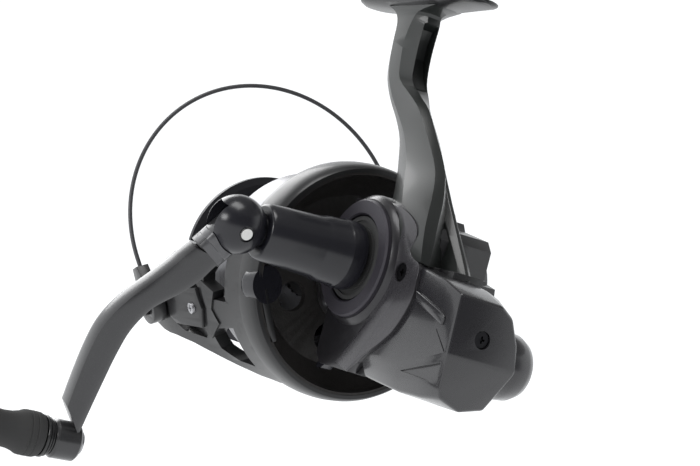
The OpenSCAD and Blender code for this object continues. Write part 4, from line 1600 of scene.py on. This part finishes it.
    def trip(self, reel: Reel) -> None:
        """The round cap and the strap of the bail trip at the foot of the near arm.

        Args:
            reel: the reel's coordinate systems.
        """
        cap = Bench.lathe(
            "bail_trip_cap",
            [(0, 0), (0, 6.2), (5, 6.2), (6.4, 5.8), (7.4, 4.8), (7.8, 3.4), (7.8, 0)],
            Axis.X,
            64,
        )
        cap.data.transform(Matrix.Translation((20.6, 33, 9)) @ Matrix.Rotation(math.radians(14), 4, "Z"))
        place(cap, reel.rotor, GLOSS, 30)
        settle(cap, "rotor", ["rotor_frame"])
        strap = Bench.plate(
            "bail_trip_strap", [(20.2, -10), (22.6, -10), (22.6, 8), (20.2, 8)], 33.6, 36.2
        )
        Bench.bevel(strap, 0.4, 2, 30)
        place(strap, reel.rotor, ROTOR, 30)
        settle(strap, "rotor", ["rotor_frame"])

    def build(self, reel: Reel) -> None:
        """Builds the rotor.

        Args:
            reel: the reel's coordinate systems.
        """
        self.ring(reel)
        self.arms(reel)
        self.trip(reel)


REBUILT = [
    Rebuilt(
        "body_housing", "root", "case", CASE, 0.4,
        trim=(
            (-70, 10.2), (-29.4, 10.2), (-29.4, 19), (-26, 22.6), (-12, 24.5), (-8, 29.6),
            (70, 29.6), (70, 130), (-70, 130),
        ),
    ),
    Rebuilt("right_cap", "root", "gloss_black", TRIM, 0.4),
    Rebuilt("anti_reverse_lever", "reverse_lever", "gloss_black", GLOSS, 0.4),
    Rebuilt("near_arm_cover", "rotor", "rotor_trim", TRIM, 0.3),
    Rebuilt("far_arm_cover", "rotor", "rotor_trim", TRIM, 0.3),
    Rebuilt("bail_holder", "bail", "rotor_trim", TRIM, 0.4),
    Rebuilt("roller_arm", "bail", "rotor_trim", TRIM, 0.4),
    Rebuilt("drag_knob", "drag", "gloss_black", TRIM, 0.4),
]


# ---------------------------------------------------------------- studio


@dataclass
class Studio:
    """Bowl-shaped floor whose emission paints light, dim on the camera's side and bright away from it; soft
    lamps and the camera.
    """

    lens: float = 88.2
    floor_z: float = -0.179
    floor_r: float = 2.2
    wall_r: float = 3.2
    wall_top: float = 2.4
    # direction in which the floor's painted light is brightest, and the level where it steps from dim to
    # bright
    away: Point3 = (0.87, -0.5, 0.0)
    emission_step: float = -1.0

    def camera(self) -> None:
        """Adds the camera, behind the reel on its crank side and rolled."""
        data = bpy.data.cameras.new("camera")
        data.lens = self.lens
        data.clip_start, data.clip_end = 0.02, 20
        camera = bpy.data.objects.new("camera", data)
        bpy.context.scene.collection.objects.link(camera)
        right = Vector((-0.492, -0.832, 0.255)).normalized()
        back = Vector((-0.865, 0.499, -0.041))
        back = (back - right * back.dot(right)).normalized()
        up = back.cross(right)
        turn = Matrix((right, up, back)).transposed().to_4x4()
        camera.matrix_world = Matrix.Translation((-0.4954, 0.2917, -0.1055)) @ turn
        bpy.context.scene.camera = camera

    def lamp(self, name: str, spot: Point3, size: float, power: float) -> None:
        """Adds one soft area lamp aimed at the reel.

        Args:
            name: the lamp's name.
            spot: where it stands.
            size: its width in metres.
            power: its power in watts.
        """
        data = bpy.data.lights.new(name, "AREA")
        data.shape = "RECTANGLE"
        data.size, data.size_y = size, size * 0.7
        data.energy = power
        lamp = bpy.data.objects.new(name, data)
        bpy.context.scene.collection.objects.link(lamp)
        lamp.location = spot
        aim = Vector((0.01, 0.03, -0.08)) - Vector(spot)
        lamp.rotation_euler = aim.to_track_quat("-Z", "Y").to_euler()

    def backdrop(self) -> None:
        """Builds the floor that sweeps up into a round wall, with painted light in its emission: dim on the
        camera's side, bright away from it.
        """
        sweep = [(0.0, self.floor_z)]
        steps = 12
        for k in range(steps + 1):
            turn = math.radians(90 * k / steps)
            run = self.wall_r - self.floor_r
            sweep.append(
                (self.floor_r + run * math.sin(turn), self.floor_z + run * (1 - math.cos(turn)))
            )
        sweep.append((self.wall_r, self.wall_top))
        piece = Bench.ring("floor", [(r, 0, z) for r, z in sweep])
        Bench.open_line(piece)
        Bench.edit(piece)
        bpy.ops.mesh.spin(steps=96, angle=TURN, center=(0, 0, 0), axis=(0, 0, 1))
        bpy.ops.mesh.remove_doubles(threshold=0.0001)
        bpy.ops.mesh.normals_make_consistent(inside=True)
        bpy.ops.object.mode_set(mode="OBJECT")
        Bench.smooth(piece, 60)
        work = Shading("floor_paper_painted_light")
        fibre = work.noise(300, 3)
        work.feed("Base Color", work.mix(fibre, rgba((0.14, 0.14, 0.14)), rgba((0.16, 0.16, 0.16))))
        work.feed("Roughness", fibre * 0.1 + 0.8)
        # painted light: the floor's emission is dim on the camera's side and bright on the side away from it,
        # so the backdrop reads white behind the reel while the reel's reflections stay dark
        toward = work.out(
            work.node("VectorMath", {"operation": "DOT_PRODUCT"}, [work.place, self.away]), "Value"
        )
        painted_light_mask = toward.over(self.emission_step, 1.5)
        work.feed("Emission Color", work.mix(painted_light_mask, rgba((0.07, 0.07, 0.075)), rgba((0.97, 0.985, 1))))
        work.feed("Emission Strength", 1.0)
        work.material.cycles.emission_sampling = "NONE"
        piece.data.materials.append(work.material)

    def build(self) -> None:
        """Sets up the whole studio."""
        scene = bpy.context.scene
        scene.view_settings.view_transform = "Standard"
        world = bpy.data.worlds.new("studio")
        world.use_nodes = True
        world.node_tree.nodes["Background"].inputs["Color"].default_value = (1, 1, 1, 1)
        world.node_tree.nodes["Background"].inputs["Strength"].default_value = 0.3
        scene.world = world
        self.camera()
        self.backdrop()
        self.lamp("top_box", (-0.2, 0.5, 1.3), 0.9, 9)
        self.lamp("left_box", (-0.2, 1.25, 0.2), 0.5, 5)
        self.lamp("front_box", (1.3, 0.2, 0.6), 1.0, 8)


def dress_nodes() -> None:
    """Gives every CAD node that stays its finish."""
    for name, finish in NODE_FINISH.items():
        node = frame["nodes"][name]
        node.data.materials.clear()
        node.data.materials.append(finish.make())


def main() -> None:
    """Builds the sub-assemblies in order and reports each piece."""
    logging.basicConfig(level=logging.INFO, format="%(message)s")
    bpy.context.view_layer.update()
    Studio().build()
    dress_nodes()
    reel = Reel(frame["joints"])
    for part in (*REBUILT, CrankHandle(), RearCover(), SideCover(), Stem(), Rotor()):
        part.build(reel)


if __name__ == "__main__":
    main()
